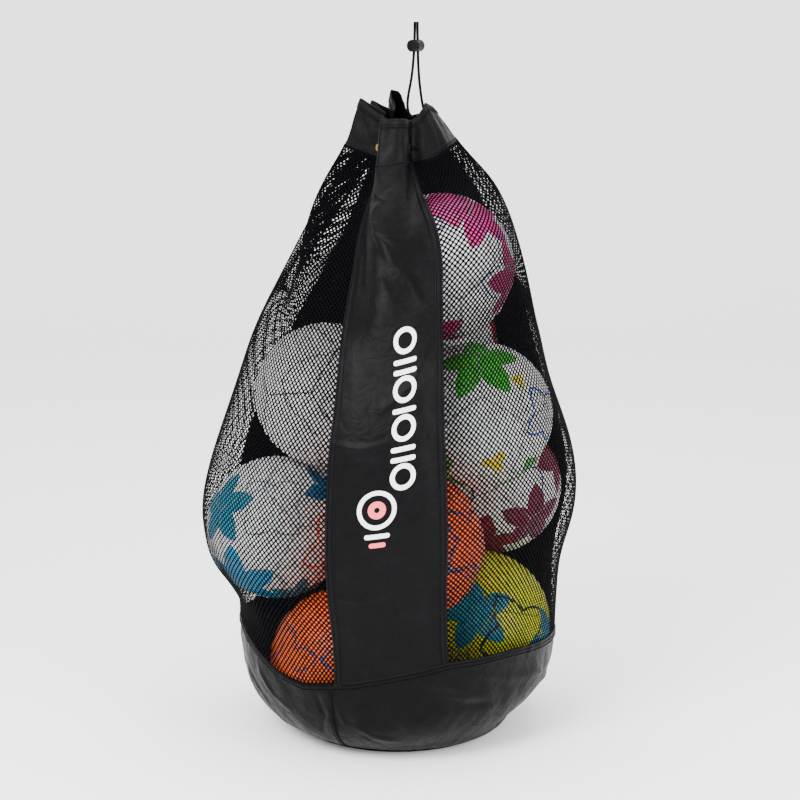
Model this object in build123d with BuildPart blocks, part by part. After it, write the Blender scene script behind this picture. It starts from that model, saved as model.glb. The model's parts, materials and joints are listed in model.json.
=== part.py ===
"""Mesh ball bag, loaded: a tall drawstring sack of net and coated cloth, standing on its round base.

Frame: the origin is the centre of the base's flat underside, +Z up, the front panel faces -Y. Millimetres.
The base, band and panels are one closed form that is cut along the bag's real seams. The collar at the
mouth is folded into six pleats by a cord threaded through eyelets. A sprung lock holds the cord's two ends.
"""

from math import cos, pi, radians, sin, tan
import os

from build123d import *

os.makedirs("parts", exist_ok=True)

# ---- cloth ----
CLOTH = 2.0          # thickness of every cloth wall
HEM_SKIN = 1.2       # how far a folded and stitched hem stands proud of the cloth
HEM_WIDTH = 11.0
BASE_CLOTH = 3.0     # the base is two layers
BINDING = 12.0       # width of the tape that binds the base seam inside

# ---- the bag's form: height, centre x, centre y, half width, half depth of each oval section ----
SECTIONS = (
    (0.0, 8, 36, 150, 176),
    (18.0, 10, 38, 184, 222),
    (45.0, 8, 40, 212, 258),
    (90.0, 14, 36, 240, 276),
    (150.0, 15, 30, 248, 276),
    (200.0, 14, 22, 250, 276),
    (240.0, 4, 14, 262, 278),
    (280.0, -8, 8, 278, 280),
    (320.0, -5, 3, 290, 284),
    (400.0, 6, 1, 290, 285),
    (480.0, 14, -6, 278, 280),
    (560.0, 23, -9, 256, 260),
    (640.0, 26, -10, 226, 232),
    (720.0, 28, -12, 198, 208),
    (800.0, 30, -6, 166, 174),
    (850.0, 26, 2, 138, 138),
    (887.0, 24, 2, 116, 112),
)
BAND_TOP = 150.0     # the seam between the base band and the net
NECK = 887.0         # the seam under the collar

# ---- panels ----
FRONT_LEFT = ((-78, BAND_TOP), (-86, 415), (-56, 695), (-22, NECK))   # edges of the front panel, x by z
FRONT_RIGHT = ((88, BAND_TOP), (82, 415), (70, 695), (28, NECK))
BAG_AXIS = (10, 10)
BACK_RIGHT_ANGLE = 20.0    # the back panel runs between these two directions from the bag's axis
BACK_LEFT_ANGLE = 150.0
BAND_SEAM_X = -76.0        # the upright seam that closes the base band
REACH = 500.0              # further out than the bag from its axis

# ---- collar: six pleats, as the outline of its lower edge; the upper edge is the same, drawn in ----
COLLAR_AXIS = (24, -4)
COLLAR_TOP_SHARE = 0.66
COLLAR_FOOT = 890.0
COLLAR_HEM = 956.0
COLLAR_TOP = 970.0
TOP_HEM_CLOTH = 3.0
PLEATS = (
    (-22, -86), (27, -88), (34, -34), (62, -44), (100, -20), (126, 40), (50, 18), (86, 88),
    (36, 28), (14, 94), (-14, 92), (6, 24), (-56, 66), (-8, 6), (-75, -2), (2, -28),
)
# the pleat walls that the cord goes through, by the index of their first corner
THREADED_WALLS = (1, 2, 5, 6, 7, 8, 10, 11, 12, 13, 14, 15)

# ---- cord and eyelets ----
CORD = 4.2
CORD_Z = 905.0
CORD_RING = 40.0           # radius of the cord's run around the collar
RING_START, RING_END = 27.0, 316.0
EYELET_BORE, EYELET_TUBE, EYELET_FLANGE = 7.6, 8.8, 13.0
FLANGE = 0.8
LOCK_AT = (42.0, 0.0, 1055.0)
CORD_TIP = 1090.0
LEFT_X, RIGHT_X = LOCK_AT[0] - CORD / 2, LOCK_AT[0] + CORD / 2

# ---- cord lock ----
LOCK_ANGLE = 55.0          # direction of the lock's own axis, from +X towards +Y
LOCK_RADIUS = 9.0
BARREL_FRONT, BARREL_BACK = -5.6, 10.6
BARREL_WALL = 2.3
BARREL_END = 1.4
PLUNGER_GAP = 0.3
PRESS = 3.0                # how far the button travels
BUTTON = 3.6
PLUNGER_BACK = 4.6
CORD_HOLE = (9.4, 5.2)
WIRE = 0.7
COILS, COIL_RADIUS = 2.5, 4.6

# ---- balls: regulation size, 220 mm across ----
BALL_RADIUS = 110.0
BALL_WALL = 3.0
BALLS = {
    "ball_pink": (79, -69, 731),
    "ball_white": (-93, -37, 532),
    "ball_green": (137, -97, 512),
    "ball_maroon": (164, 70, 371),
    "ball_teal": (-170, -31, 324),
    "ball_orange_navy": (34, -158, 325),
    "ball_yellow": (142, -32, 174),
    "ball_orange_blue": (-70, -93, 130),
    "ball_grey_upper": (-45, 165, 323),
    "ball_red": (63, 108, 590),
    "ball_plain": (30, 170, 116),
}


def save(builder, name):
    """Labels a finished sub-part and writes its STEP file."""
    builder.part.label = name
    export_step(builder.part, f"parts/{name}.step")


def bag_form(grow):
    """The whole bag as one solid, grown outwards by `grow` at every section."""
    with BuildPart() as form:
        for z, cx, cy, rx, ry in SECTIONS:
            with BuildSketch(Plane.XY.offset(z)):
                with Locations((cx, cy)):
                    Ellipse(rx + grow, ry + grow)
        loft()
    return form.part


def slab(low, high):
    """A flat slab wider than the bag between two heights."""
    with BuildPart() as block:
        with BuildSketch(Plane.XY.offset(low)):
            Rectangle(2.4 * REACH, 2.4 * REACH)
        extrude(amount=high - low)
    return block.part


def front_strip(left, right):
    """A solid that stands in front of the bag's axis between two edges, each a list of (x, z)."""
    with BuildPart() as strip:
        with BuildSketch(Plane.XZ):
            with BuildLine():
                Polyline(*left, *reversed(right), close=True)
            make_face()
        extrude(amount=REACH)
    return strip.part


def sector(from_angle, to_angle):
    """An upright wedge around the bag's axis between two directions less than 180 degrees apart."""
    middle = (from_angle + to_angle) / 2
    points = [BAG_AXIS]
    for angle in (from_angle, middle, to_angle):
        points.append((BAG_AXIS[0] + REACH * cos(radians(angle)), BAG_AXIS[1] + REACH * sin(radians(angle))))
    with BuildPart() as wedge:
        with BuildSketch(Plane.XY.offset(BAND_TOP)):
            with BuildLine():
                Polyline(*points, close=True)
            make_face()
        extrude(amount=NECK - BAND_TOP)
    return wedge.part


def edge_slab(angle, side):
    """An upright slab, one hem wide, beside the bag's axis plane at an angle; side is +1 or -1."""
    with BuildPart() as block:
        with BuildSketch(Plane((*BAG_AXIS, BAND_TOP), x_dir=(cos(radians(angle)), sin(radians(angle)), 0))):
            with Locations((REACH / 2, side * HEM_WIDTH / 2)):
                Rectangle(REACH, HEM_WIDTH)
        extrude(amount=NECK - BAND_TOP)
    return block.part


def shifted(edge, dx):
    """A panel edge moved sideways."""
    return [(x + dx, z) for x, z in edge]


def pleat_points(z):
    """The collar's outline at a height: its lower outline, drawn in towards the collar's axis."""
    share = 1 - (1 - COLLAR_TOP_SHARE) * (z - COLLAR_FOOT) / (COLLAR_TOP - COLLAR_FOOT)
    ax, ay = COLLAR_AXIS
    return [(ax + (x - ax) * share, ay + (y - ay) * share) for x, y in PLEATS]


def inset_outline(points, amount):
    """An anticlockwise outline with each side moved in by `amount` and the corners kept sharp."""
    moved = []
    for (x0, y0), (x1, y1), (x2, y2) in zip(points[-1:] + points[:-1], points, points[1:] + points[:1]):
        a, b = Vector(x1 - x0, y1 - y0, 0).normalized(), Vector(x2 - x1, y2 - y1, 0).normalized()
        mitre = Vector(-a.Y - b.Y, a.X + b.X, 0)
        share = amount / (1 + a.dot(b))
        moved.append((x1 + mitre.X * share, y1 + mitre.Y * share))
    return moved


def pleat_loft(low, high, inset):
    """The solid inside the collar's outline between two heights, with its sides moved in by `inset`."""
    with BuildPart() as solid:
        for z in (low, high):
            with BuildSketch(Plane.XY.offset(z)):
                with BuildLine():
                    Polyline(*inset_outline(pleat_points(z), inset), close=True)
                make_face()
        loft(ruled=True)
    return solid.part


def wall_crossings():
    """Where the cord's ring passes each threaded pleat wall: the point and the wall's outward normal."""
    outline = pleat_points(CORD_Z)
    above = pleat_points(CORD_Z + 10)
    ax, ay = COLLAR_AXIS
    found = []
    for i in THREADED_WALLS:
        (x0, y0), (x1, y1) = outline[i], outline[(i + 1) % len(outline)]
        dx, dy = x1 - x0, y1 - y0
        a, b = dx * dx + dy * dy, 2 * ((x0 - ax) * dx + (y0 - ay) * dy)
        c = (x0 - ax) ** 2 + (y0 - ay) ** 2 - CORD_RING**2
        root = (b * b - 4 * a * c) ** 0.5
        t = next(t for t in ((-b - root) / (2 * a), (-b + root) / (2 * a)) if 0 < t < 1)
        along = Vector(dx, dy, 0).normalized()
        up = Vector(above[i][0] - x0, above[i][1] - y0, 10)
        normal = along.cross(up).normalized()
        found.append((Vector(x0 + t * dx, y0 + t * dy, CORD_Z), normal))
    return found


def arc_radii(points):
    """The largest arc that each corner of a cord's route allows; prints them."""
    vectors = [Vector(*p) for p in points]
    radii = []
    for before, here, after in zip(vectors, vectors[1:], vectors[2:]):
        turn = radians((here - before).get_angle(after - here))
        shorter = min((here - before).length, (after - here).length)
        radii.append(0.45 * shorter / tan(turn / 2))
    print("cord radii:", [round(r, 1) for r in radii])
    return radii


# ---- the bag's walls ----
outside = bag_form(0)
inside = bag_form(-CLOTH)
wall = outside - inside
skin = bag_form(HEM_SKIN) - outside
front_region = front_strip(FRONT_LEFT, FRONT_RIGHT)
back_region = sector(BACK_RIGHT_ANGLE, BACK_LEFT_ANGLE)

with BuildPart() as base_panel:
    add(inside)
    add(slab(0, BASE_CLOTH), mode=Mode.INTERSECT)
save(base_panel, "base_panel")

with BuildPart() as base_binding:
    add(inside)
    add(slab(BASE_CLOTH, BASE_CLOTH + 1), mode=Mode.INTERSECT)
    add(bag_form(-CLOTH - BINDING), mode=Mode.SUBTRACT)
save(base_binding, "base_binding")

with BuildPart() as base_band:
    add(wall)
    add(slab(0, BAND_TOP), mode=Mode.INTERSECT)
save(base_band, "base_band")

with BuildPart() as band_hem:
    add(skin)
    add(slab(BAND_TOP - HEM_WIDTH, BAND_TOP), mode=Mode.INTERSECT)
save(band_hem, "band_hem")

with BuildPart() as band_seam:
    add(skin)
    seam_edges = [[(BAND_SEAM_X + dx, 6), (BAND_SEAM_X + dx, BAND_TOP - HEM_WIDTH)] for dx in (-4, 4)]
    add(front_strip(*seam_edges), mode=Mode.INTERSECT)
save(band_seam, "band_seam")

with BuildPart() as front_panel:
    add(wall)
    add(front_region, mode=Mode.INTERSECT)
save(front_panel, "front_panel")

with BuildPart() as back_panel:
    add(wall)
    add(back_region, mode=Mode.INTERSECT)
save(back_panel, "back_panel")

for name, side in (("mesh_left", -1), ("mesh_right", 1)):
    with BuildPart() as net:
        add(wall)
        with BuildSketch(Plane.XY.offset(BAND_TOP)):
            with Locations((BAG_AXIS[0] + side * REACH / 2, 0)):
                Rectangle(REACH, 2 * REACH)
        extrude(amount=NECK - BAND_TOP, mode=Mode.INTERSECT)
        add(front_region, mode=Mode.SUBTRACT)
        add(back_region, mode=Mode.SUBTRACT)
    save(net, name)

for name, edge, side in (("front_hem_left", FRONT_LEFT, 1), ("front_hem_right", FRONT_RIGHT, -1)):
    hem_edges = sorted((edge, shifted(edge, side * HEM_WIDTH)), key=lambda e: e[0][0])
    with BuildPart() as hem:
        add(skin)
        add(front_strip(*hem_edges), mode=Mode.INTERSECT)
    save(hem, name)

for name, angle, side in (("back_hem_left", BACK_LEFT_ANGLE, -1), ("back_hem_right", BACK_RIGHT_ANGLE, 1)):
    with BuildPart() as hem:
        add(skin)
        add(edge_slab(angle, side), mode=Mode.INTERSECT)
    save(hem, name)

# ---- the collar, its hems and eyelets ----
crossings = wall_crossings()

with BuildPart() as neck_hem:
    _, neck_x, neck_y, neck_rx, neck_ry = SECTIONS[-1]
    with BuildSketch(Plane.XY.offset(NECK)):
        with Locations((neck_x, neck_y)):
            Ellipse(neck_rx, neck_ry)
    extrude(amount=COLLAR_FOOT - NECK)
    with BuildSketch(Plane.XY.offset(NECK)):
        with BuildLine():
            Polyline(*inset_outline(pleat_points(COLLAR_FOOT), CLOTH), close=True)
        make_face()
    extrude(amount=COLLAR_FOOT - NECK, mode=Mode.SUBTRACT)
save(neck_hem, "neck_hem")

with BuildPart() as collar:
    add(pleat_loft(COLLAR_FOOT, COLLAR_HEM, 0))
    add(pleat_loft(COLLAR_FOOT, COLLAR_HEM, CLOTH), mode=Mode.SUBTRACT)
    for point, normal in crossings:
        with BuildSketch(Plane(point - normal * 8, z_dir=normal)):
            Circle(EYELET_TUBE / 2)
        extrude(amount=14, mode=Mode.SUBTRACT)
save(collar, "collar")

with BuildPart() as collar_hem:
    add(pleat_loft(COLLAR_HEM, COLLAR_TOP, 0))
    add(pleat_loft(COLLAR_HEM, COLLAR_TOP, TOP_HEM_CLOTH), mode=Mode.SUBTRACT)
save(collar_hem, "collar_hem")

with BuildPart() as eyelets:
    for point, normal in crossings:
        face = Plane(point, z_dir=normal)
        with BuildSketch(face):
            Circle(EYELET_FLANGE / 2)
            Circle(EYELET_BORE / 2, mode=Mode.SUBTRACT)
        extrude(amount=FLANGE)
        with BuildSketch(face.offset(-CLOTH - FLANGE)):
            Circle(EYELET_TUBE / 2)
            Circle(EYELET_BORE / 2, mode=Mode.SUBTRACT)
        extrude(amount=CLOTH + FLANGE)
save(eyelets, "eyelets")

with BuildPart() as eyelet_washers:
    for point, normal in crossings:
        with BuildSketch(Plane(point, z_dir=normal).offset(-CLOTH)):
            Circle(EYELET_FLANGE / 2)
            Circle(EYELET_TUBE / 2, mode=Mode.SUBTRACT)
        extrude(amount=-FLANGE)
save(eyelet_washers, "eyelet_washers")

# ---- the cord ----
def ring_point(angle):
    """A point of the cord's ring, in plan."""
    return (COLLAR_AXIS[0] + CORD_RING * cos(radians(angle)), COLLAR_AXIS[1] + CORD_RING * sin(radians(angle)))


with BuildPart() as drawcord_ring:
    with BuildLine(Plane.XY.offset(CORD_Z)) as ring_line:
        CenterArc(COLLAR_AXIS, CORD_RING, RING_START, RING_END - RING_START)
    with BuildSketch(Plane(origin=ring_line.line @ 0, z_dir=ring_line.line % 0)):
        Circle(CORD / 2)
    sweep()
save(drawcord_ring, "drawcord_ring")

RIGHT_ROUTE = (
    (*ring_point(RING_START), CORD_Z), (65.1, 3.5, 905), (68.9, -4.0, 913.5), (66, -3, 930), (58, 3, 948),
    (51, 5, 968), (RIGHT_X, 0, 1028), (RIGHT_X, 0, CORD_TIP),
)
LEFT_ROUTE = (
    (*ring_point(RING_END), CORD_Z), (61.1, -23.2, 905), (67.0, -17.1, 913.5), (62, -14, 930), (45, -12, 944),
    (25, -9, 958), (LEFT_X, 0, 1028), (LEFT_X, 0, CORD_TIP),
)
for name, route in (("drawcord_left", LEFT_ROUTE), ("drawcord_right", RIGHT_ROUTE)):
    with BuildPart() as strand:
        with BuildLine():
            path = FilletPolyline(*route, radius=arc_radii(route))
        with BuildSketch(Plane(origin=path @ 0, z_dir=path % 0)):
            Circle(CORD / 2)
        sweep()
    full = pi * CORD**2 / 4 * path.length
    print(name, "length", round(path.length, 1), "volume error", round(strand.part.volume / full - 1, 4))
    save(strand, name)

# ---- the cord lock, along its own axis from the button at the front to the barrel's closed end ----
lock_dir = (cos(radians(LOCK_ANGLE)), sin(radians(LOCK_ANGLE)), 0)
lock_plane = Plane(LOCK_AT, x_dir=(0, 0, 1), z_dir=lock_dir)
lock_floor = Plane.XY.offset(LOCK_AT[2] - 2 * LOCK_RADIUS)

with BuildPart() as cord_lock_barrel:
    with BuildSketch(lock_plane.offset(BARREL_FRONT)):
        Circle(LOCK_RADIUS)
    extrude(amount=BARREL_BACK - BARREL_FRONT)
    fillet(cord_lock_barrel.faces().sort_by(Axis(LOCK_AT, lock_dir))[-1].edges(), 1.2)
    with BuildSketch(lock_plane.offset(BARREL_FRONT)):
        Circle(LOCK_RADIUS - BARREL_WALL)
    extrude(amount=BARREL_BACK - BARREL_END - BARREL_FRONT, mode=Mode.SUBTRACT)
    with BuildSketch(lock_floor):
        with Locations(LOCK_AT[:2]):
            SlotOverall(*CORD_HOLE)
    extrude(amount=4 * LOCK_RADIUS, mode=Mode.SUBTRACT)
save(cord_lock_barrel, "cord_lock_barrel")

with BuildPart() as cord_lock_plunger:
    button_back = BARREL_FRONT - PRESS - PLUNGER_GAP
    with BuildSketch(lock_plane.offset(button_back - BUTTON)):
        Circle(LOCK_RADIUS)
    extrude(amount=BUTTON)
    fillet(cord_lock_plunger.edges(), 0.8)
    with BuildSketch(lock_plane.offset(button_back)):
        Circle(LOCK_RADIUS - BARREL_WALL - PLUNGER_GAP)
    extrude(amount=PLUNGER_BACK - button_back)
    with BuildSketch(lock_plane.offset(button_back - BUTTON)):
        Circle(LOCK_RADIUS - 2.6)
    extrude(amount=1.0, taper=20, mode=Mode.SUBTRACT)
    with BuildSketch(lock_floor):
        for step in (0, -PRESS / 2, -PRESS):
            with Locations((LOCK_AT[0] + step * lock_dir[0], LOCK_AT[1] + step * lock_dir[1])):
                SlotOverall(CORD_HOLE[0] + 0.4, CORD_HOLE[1] + 0.4)
    extrude(amount=4 * LOCK_RADIUS, mode=Mode.SUBTRACT)
save(cord_lock_plunger, "cord_lock_plunger")

with BuildPart() as cord_lock_spring:
    spring_low, spring_high = PLUNGER_BACK + WIRE / 2 + 0.05, BARREL_BACK - BARREL_END - WIRE / 2 - 0.05
    with BuildLine():
        start = Vector(*LOCK_AT) + Vector(*lock_dir) * spring_low
        height = spring_high - spring_low
        coil = Helix(pitch=height / COILS, height=height, radius=COIL_RADIUS, center=start, direction=lock_dir)
    with BuildSketch(Plane(origin=coil @ 0, z_dir=coil % 0)):
        Circle(WIRE / 2)
    sweep(is_frenet=True)
save(cord_lock_spring, "cord_lock_spring")

# ---- the balls ----
for name, centre in BALLS.items():
    with BuildPart() as ball:
        with Locations(centre):
            Sphere(BALL_RADIUS)
            Sphere(BALL_RADIUS - BALL_WALL, mode=Mode.SUBTRACT)
    save(ball, name)
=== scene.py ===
"""Mesh ball bag, full: a tall drawstring sack of knitted net and coated cloth with eleven footballs in it.

The bag's cloth is relaxed over the balls, and then the panels, net, hems, stitches and print are cut
from it.
"""

import json
import logging
import math
from dataclasses import dataclass, field
from enum import Enum
from typing import Any, Iterable, Sequence

import bpy
import numpy as np
from mathutils import Euler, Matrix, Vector
from mathutils.bvhtree import BVHTree

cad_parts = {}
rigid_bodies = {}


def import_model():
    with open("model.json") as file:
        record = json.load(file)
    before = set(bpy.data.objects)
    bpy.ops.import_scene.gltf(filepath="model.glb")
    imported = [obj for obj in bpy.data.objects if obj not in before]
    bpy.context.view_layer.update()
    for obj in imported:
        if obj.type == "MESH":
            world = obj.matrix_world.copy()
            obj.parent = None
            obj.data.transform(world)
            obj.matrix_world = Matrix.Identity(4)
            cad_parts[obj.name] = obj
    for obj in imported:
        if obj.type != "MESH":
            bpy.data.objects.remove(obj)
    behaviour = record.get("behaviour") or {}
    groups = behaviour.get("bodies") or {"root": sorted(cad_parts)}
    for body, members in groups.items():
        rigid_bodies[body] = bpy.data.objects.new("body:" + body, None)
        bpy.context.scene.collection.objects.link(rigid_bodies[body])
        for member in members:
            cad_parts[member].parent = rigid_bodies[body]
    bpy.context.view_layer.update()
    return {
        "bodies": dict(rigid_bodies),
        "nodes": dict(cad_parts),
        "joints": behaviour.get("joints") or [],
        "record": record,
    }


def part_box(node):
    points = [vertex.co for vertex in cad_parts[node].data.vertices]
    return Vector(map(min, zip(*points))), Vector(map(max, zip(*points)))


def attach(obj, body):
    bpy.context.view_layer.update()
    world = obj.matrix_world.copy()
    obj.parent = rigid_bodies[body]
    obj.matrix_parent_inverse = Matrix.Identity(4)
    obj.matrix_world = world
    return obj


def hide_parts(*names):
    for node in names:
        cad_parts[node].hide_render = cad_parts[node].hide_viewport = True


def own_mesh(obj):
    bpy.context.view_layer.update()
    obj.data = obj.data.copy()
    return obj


LOG = logging.getLogger("ball_bag")
MM = 0.001

Array = np.ndarray


# ---------------------------------------------------------------- small tools


def linear(code: str) -> tuple[float, float, float, float]:
    """Turn an sRGB hex code into linear light.

    Args:
        code: the colour, as "#rrggbb".

    Returns:
        Red, green, blue and an alpha of 1.
    """
    parts = [int(code[i : i + 2], 16) / 255 for i in (1, 3, 5)]
    light = [p / 12.92 if p <= 0.04045 else ((p + 0.055) / 1.055) ** 2.4 for p in parts]
    return light[0], light[1], light[2], 1.0


def add(tree: bpy.types.NodeTree, kind: str, settings: dict | None = None,
        links: dict | None = None) -> Any:
    """Add one node with its settings and links.

    Args:
        tree: the node tree.
        kind: the node's type.
        settings: values by input name or number, or by the node's own property.
        links: sockets to join, by input name or number.

    Returns:
        The node.
    """
    made = tree.nodes.new(kind)
    for key, value in (settings or {}).items():
        if isinstance(key, int) or key in made.inputs:
            made.inputs[key].default_value = value
        else:
            setattr(made, key, value)
    for key, socket in (links or {}).items():
        tree.links.new(socket, made.inputs[key])
    return made


def maths(tree: bpy.types.NodeTree, operation: str, *terms: Any) -> Any:
    """Work out one number from sockets and plain numbers.

    Args:
        tree: the node tree.
        operation: the Math node's operation.
        terms: each a socket or a number.

    Returns:
        The result's socket.
    """
    numbers = {i: t for i, t in enumerate(terms) if isinstance(t, (int, float))}
    sockets = {i: t for i, t in enumerate(terms) if not isinstance(t, (int, float))}
    return add(tree, "ShaderNodeMath", {"operation": operation, **numbers}, sockets).outputs[0]


def mesh_piece(name: str, points: Array, faces: Sequence, smooth: bool = True) -> bpy.types.Object:
    """Make an object from points and faces.

    Args:
        name: the piece's name.
        points: its points, in metres.
        faces: its faces, each a tuple or row of point numbers.
        smooth: whether it is shaded smooth.

    Returns:
        The object, in the scene.
    """
    mesh = bpy.data.meshes.new(name)
    rows = faces.tolist() if isinstance(faces, np.ndarray) else faces
    mesh.from_pydata(np.asarray(points, dtype=float).tolist(), [], rows)
    mesh.polygons.foreach_set("use_smooth", [smooth] * len(mesh.polygons))
    mesh.update()
    made = bpy.data.objects.new(name, mesh)
    bpy.context.scene.collection.objects.link(made)
    return made


def note_flat(piece: bpy.types.Object, flat: Array) -> None:
    """Keep each point's place on the flat cloth, in millimetres, for the weave and the print.

    Args:
        piece: the mesh object.
        flat: two or three numbers a point.
    """
    values = np.zeros((len(piece.data.vertices), 3))
    values[:, : flat.shape[1]] = flat
    kept = piece.data.attributes.new("flat", "FLOAT_VECTOR", "POINT")
    kept.data.foreach_set("vector", values.ravel())


def finish_piece(piece: bpy.types.Object, body: str, slot: str,
                 *materials: bpy.types.Material) -> bpy.types.Object:
    """Give a piece its materials and body.

    Args:
        piece: the object.
        body: the body that it moves with.
        slot: the record's material slot; not used.
        materials: its materials, in order.

    Returns:
        The same object.
    """
    for material in materials:
        piece.data.materials.append(material)
    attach(piece, body)
    count = len(getattr(piece.data, "polygons", []))
    LOG.info("%s: %d faces", piece.name, count)
    return piece


def grid_faces(rows: int, columns: int, close_rows: bool = False, close_columns: bool = False) -> Array:
    """Number the quads of a grid.

    Args:
        rows: how many rows of points.
        columns: how many points a row.
        close_rows: whether the last row joins the first.
        close_columns: whether each row is a ring.

    Returns:
        The quads, four point numbers each.
    """
    r = np.arange(rows if close_rows else rows - 1)
    c = np.arange(columns if close_columns else columns - 1)
    r, c = (x.ravel() for x in np.meshgrid(r, c, indexing="ij"))
    r2, c2 = (r + 1) % rows, (c + 1) % columns
    return np.stack([r * columns + c, r * columns + c2, r2 * columns + c2, r2 * columns + c], 1)


def distance_along(line: Array) -> Array:
    """How far each point of a line lies from its first, along it."""
    return np.concatenate([[0], np.cumsum(np.linalg.norm(np.diff(line, axis=0), axis=1))])


def read_line(where: Array, run: Array, values: Array) -> Array:
    """Read a line's values at some distances along it.

    Args:
        where: the distances.
        run: each point's distance along the line.
        values: each point's values, a row a point.

    Returns:
        A row of values for each distance.
    """
    return np.stack([np.interp(where, run, column) for column in values.T], 1)


def unit(vectors: Array) -> Array:
    """Scale vectors to length one."""
    return vectors / np.maximum(np.linalg.norm(vectors, axis=-1, keepdims=True), 1e-12)


def smoothstep(x: Array) -> Array:
    """Ease from 0 to 1."""
    x = np.clip(x, 0, 1)
    return x * x * (3 - 2 * x)


def crumple(x: Array, y: Array, wave: float, seed: int, stretch: float = 1.0) -> Array:
    """Give an uneven, smooth ripple, as creased cloth has.

    Args:
        x, y: places on the cloth, in millimetres.
        wave: the ripple's typical length, in millimetres.
        seed: which ripple.
        stretch: how much longer it is along y than along x.

    Returns:
        Heights from about -1 to 1.
    """
    chance = np.random.default_rng(seed)
    total = np.zeros(np.broadcast(x, y).shape)
    for _ in range(9):
        turn, phase, size = (chance.uniform(0, math.pi), chance.uniform(0, 2 * math.pi),
                             chance.uniform(0.7, 1.6))
        bend = chance.uniform(0.3, 0.9) * np.sin((x * math.sin(turn) - y
                                                  * math.cos(turn) / stretch) / wave / 1.7)
        along = (x * math.cos(turn) + y * math.sin(turn) / stretch) * 2 * math.pi / (wave * size)
        total += np.sin(along + phase + bend)
    return total / 4.5


# ---------------------------------------------------------------- finishes


def new_material(name: str) -> tuple[bpy.types.Material, bpy.types.NodeTree, bpy.types.Node]:
    """Start a finish.

    Args:
        name: the material's name.

    Returns:
        The material, its node tree and its shader.
    """
    material = bpy.data.materials.new(name)
    material.use_nodes = True
    return material, material.node_tree, material.node_tree.nodes["Principled BSDF"]


def plain_weave(tree: bpy.types.NodeTree, split: bpy.types.Node, spacing: float) -> Any:
    """Draw threads that cross over and under.

    Args:
        tree: the node tree.
        split: the node that gives the place on the flat cloth, axis by axis.
        spacing: from thread to thread, in mm.

    Returns:
        The socket of the threads' height, 0 to 1.
    """
    across = maths(tree, "SINE", maths(tree, "MULTIPLY", split.outputs[0], math.pi / spacing))
    along = maths(tree, "SINE", maths(tree, "MULTIPLY", split.outputs[1], math.pi / spacing))
    return maths(tree, "ABSOLUTE", maths(tree, "MULTIPLY", across, along))


@dataclass(frozen=True)
class CoatedPolyester:
    """Plain-woven 600 denier polyester with a polyurethane coat, calendered."""

    name: str
    colour: str = "#070708"
    worn: str = "#0c0c0e"          # where the coat has been rubbed
    roughness: float = 0.40        # the coat dulls the thread's shine to a soft satin
    specular: float = 0.045
    weave: float = 0.9             # thread spacing in mm; the real 0.5 is drawn coarser so that it shows
    weave_depth: float = 0.06      # mm
    crease: float = 26.0           # length in mm of the small creases that folding leaves
    crease_depth: float = 0.55     # mm

    def build(self) -> bpy.types.Material:
        """Build the material."""
        material, tree, shader = new_material(self.name)
        place = add(tree, "ShaderNodeAttribute", {"attribute_name": "flat"}).outputs["Vector"]
        split = add(tree, "ShaderNodeSeparateXYZ", {}, {0: place})
        threads = plain_weave(tree, split, self.weave)
        wear = add(tree, "ShaderNodeTexNoise", {"Scale": 1 / 60, "Detail": 4.0, "Roughness": 0.6},
                   {"Vector": place})
        fine = add(tree, "ShaderNodeTexNoise", {"Scale": 1 / self.crease, "Detail": 3.0, "Distortion": 1.4},
                   {"Vector": place})
        fibre = add(tree, "ShaderNodeTexNoise", {"Scale": 0.9, "Detail": 2.0}, {"Vector": place})
        worn = add(tree, "ShaderNodeMapRange", {1: 0.52, 2: 0.80}, {0: wear.outputs[0]}).outputs[0]
        colour = add(tree, "ShaderNodeMix", {"data_type": "RGBA", 6: linear(self.colour),
                                             7: linear(self.worn)},
                     {0: worn}).outputs[2]
        low = add(tree, "ShaderNodeMapRange", {1: 0.25, 2: 0.75, 3: self.roughness - 0.07,
                                               4: self.roughness + 0.10},
                  {0: fine.outputs[0]}).outputs[0]
        rough = maths(tree, "ADD", low, maths(tree, "MULTIPLY", fibre.outputs[0], 0.06))
        creases = add(tree, "ShaderNodeBump", {"Strength": 1.0, "Distance": self.crease_depth * MM},
                      {"Height": fine.outputs[0]})
        weave = add(tree, "ShaderNodeBump", {"Strength": 1.0, "Distance": self.weave_depth * MM},
                    {"Height": threads, "Normal": creases.outputs[0]})
        shader.inputs["Specular IOR Level"].default_value = self.specular
        for socket, name in ((colour, "Base Color"), (rough, "Roughness"), (weave.outputs[0], "Normal")):
            tree.links.new(socket, shader.inputs[name])
        return material


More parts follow.
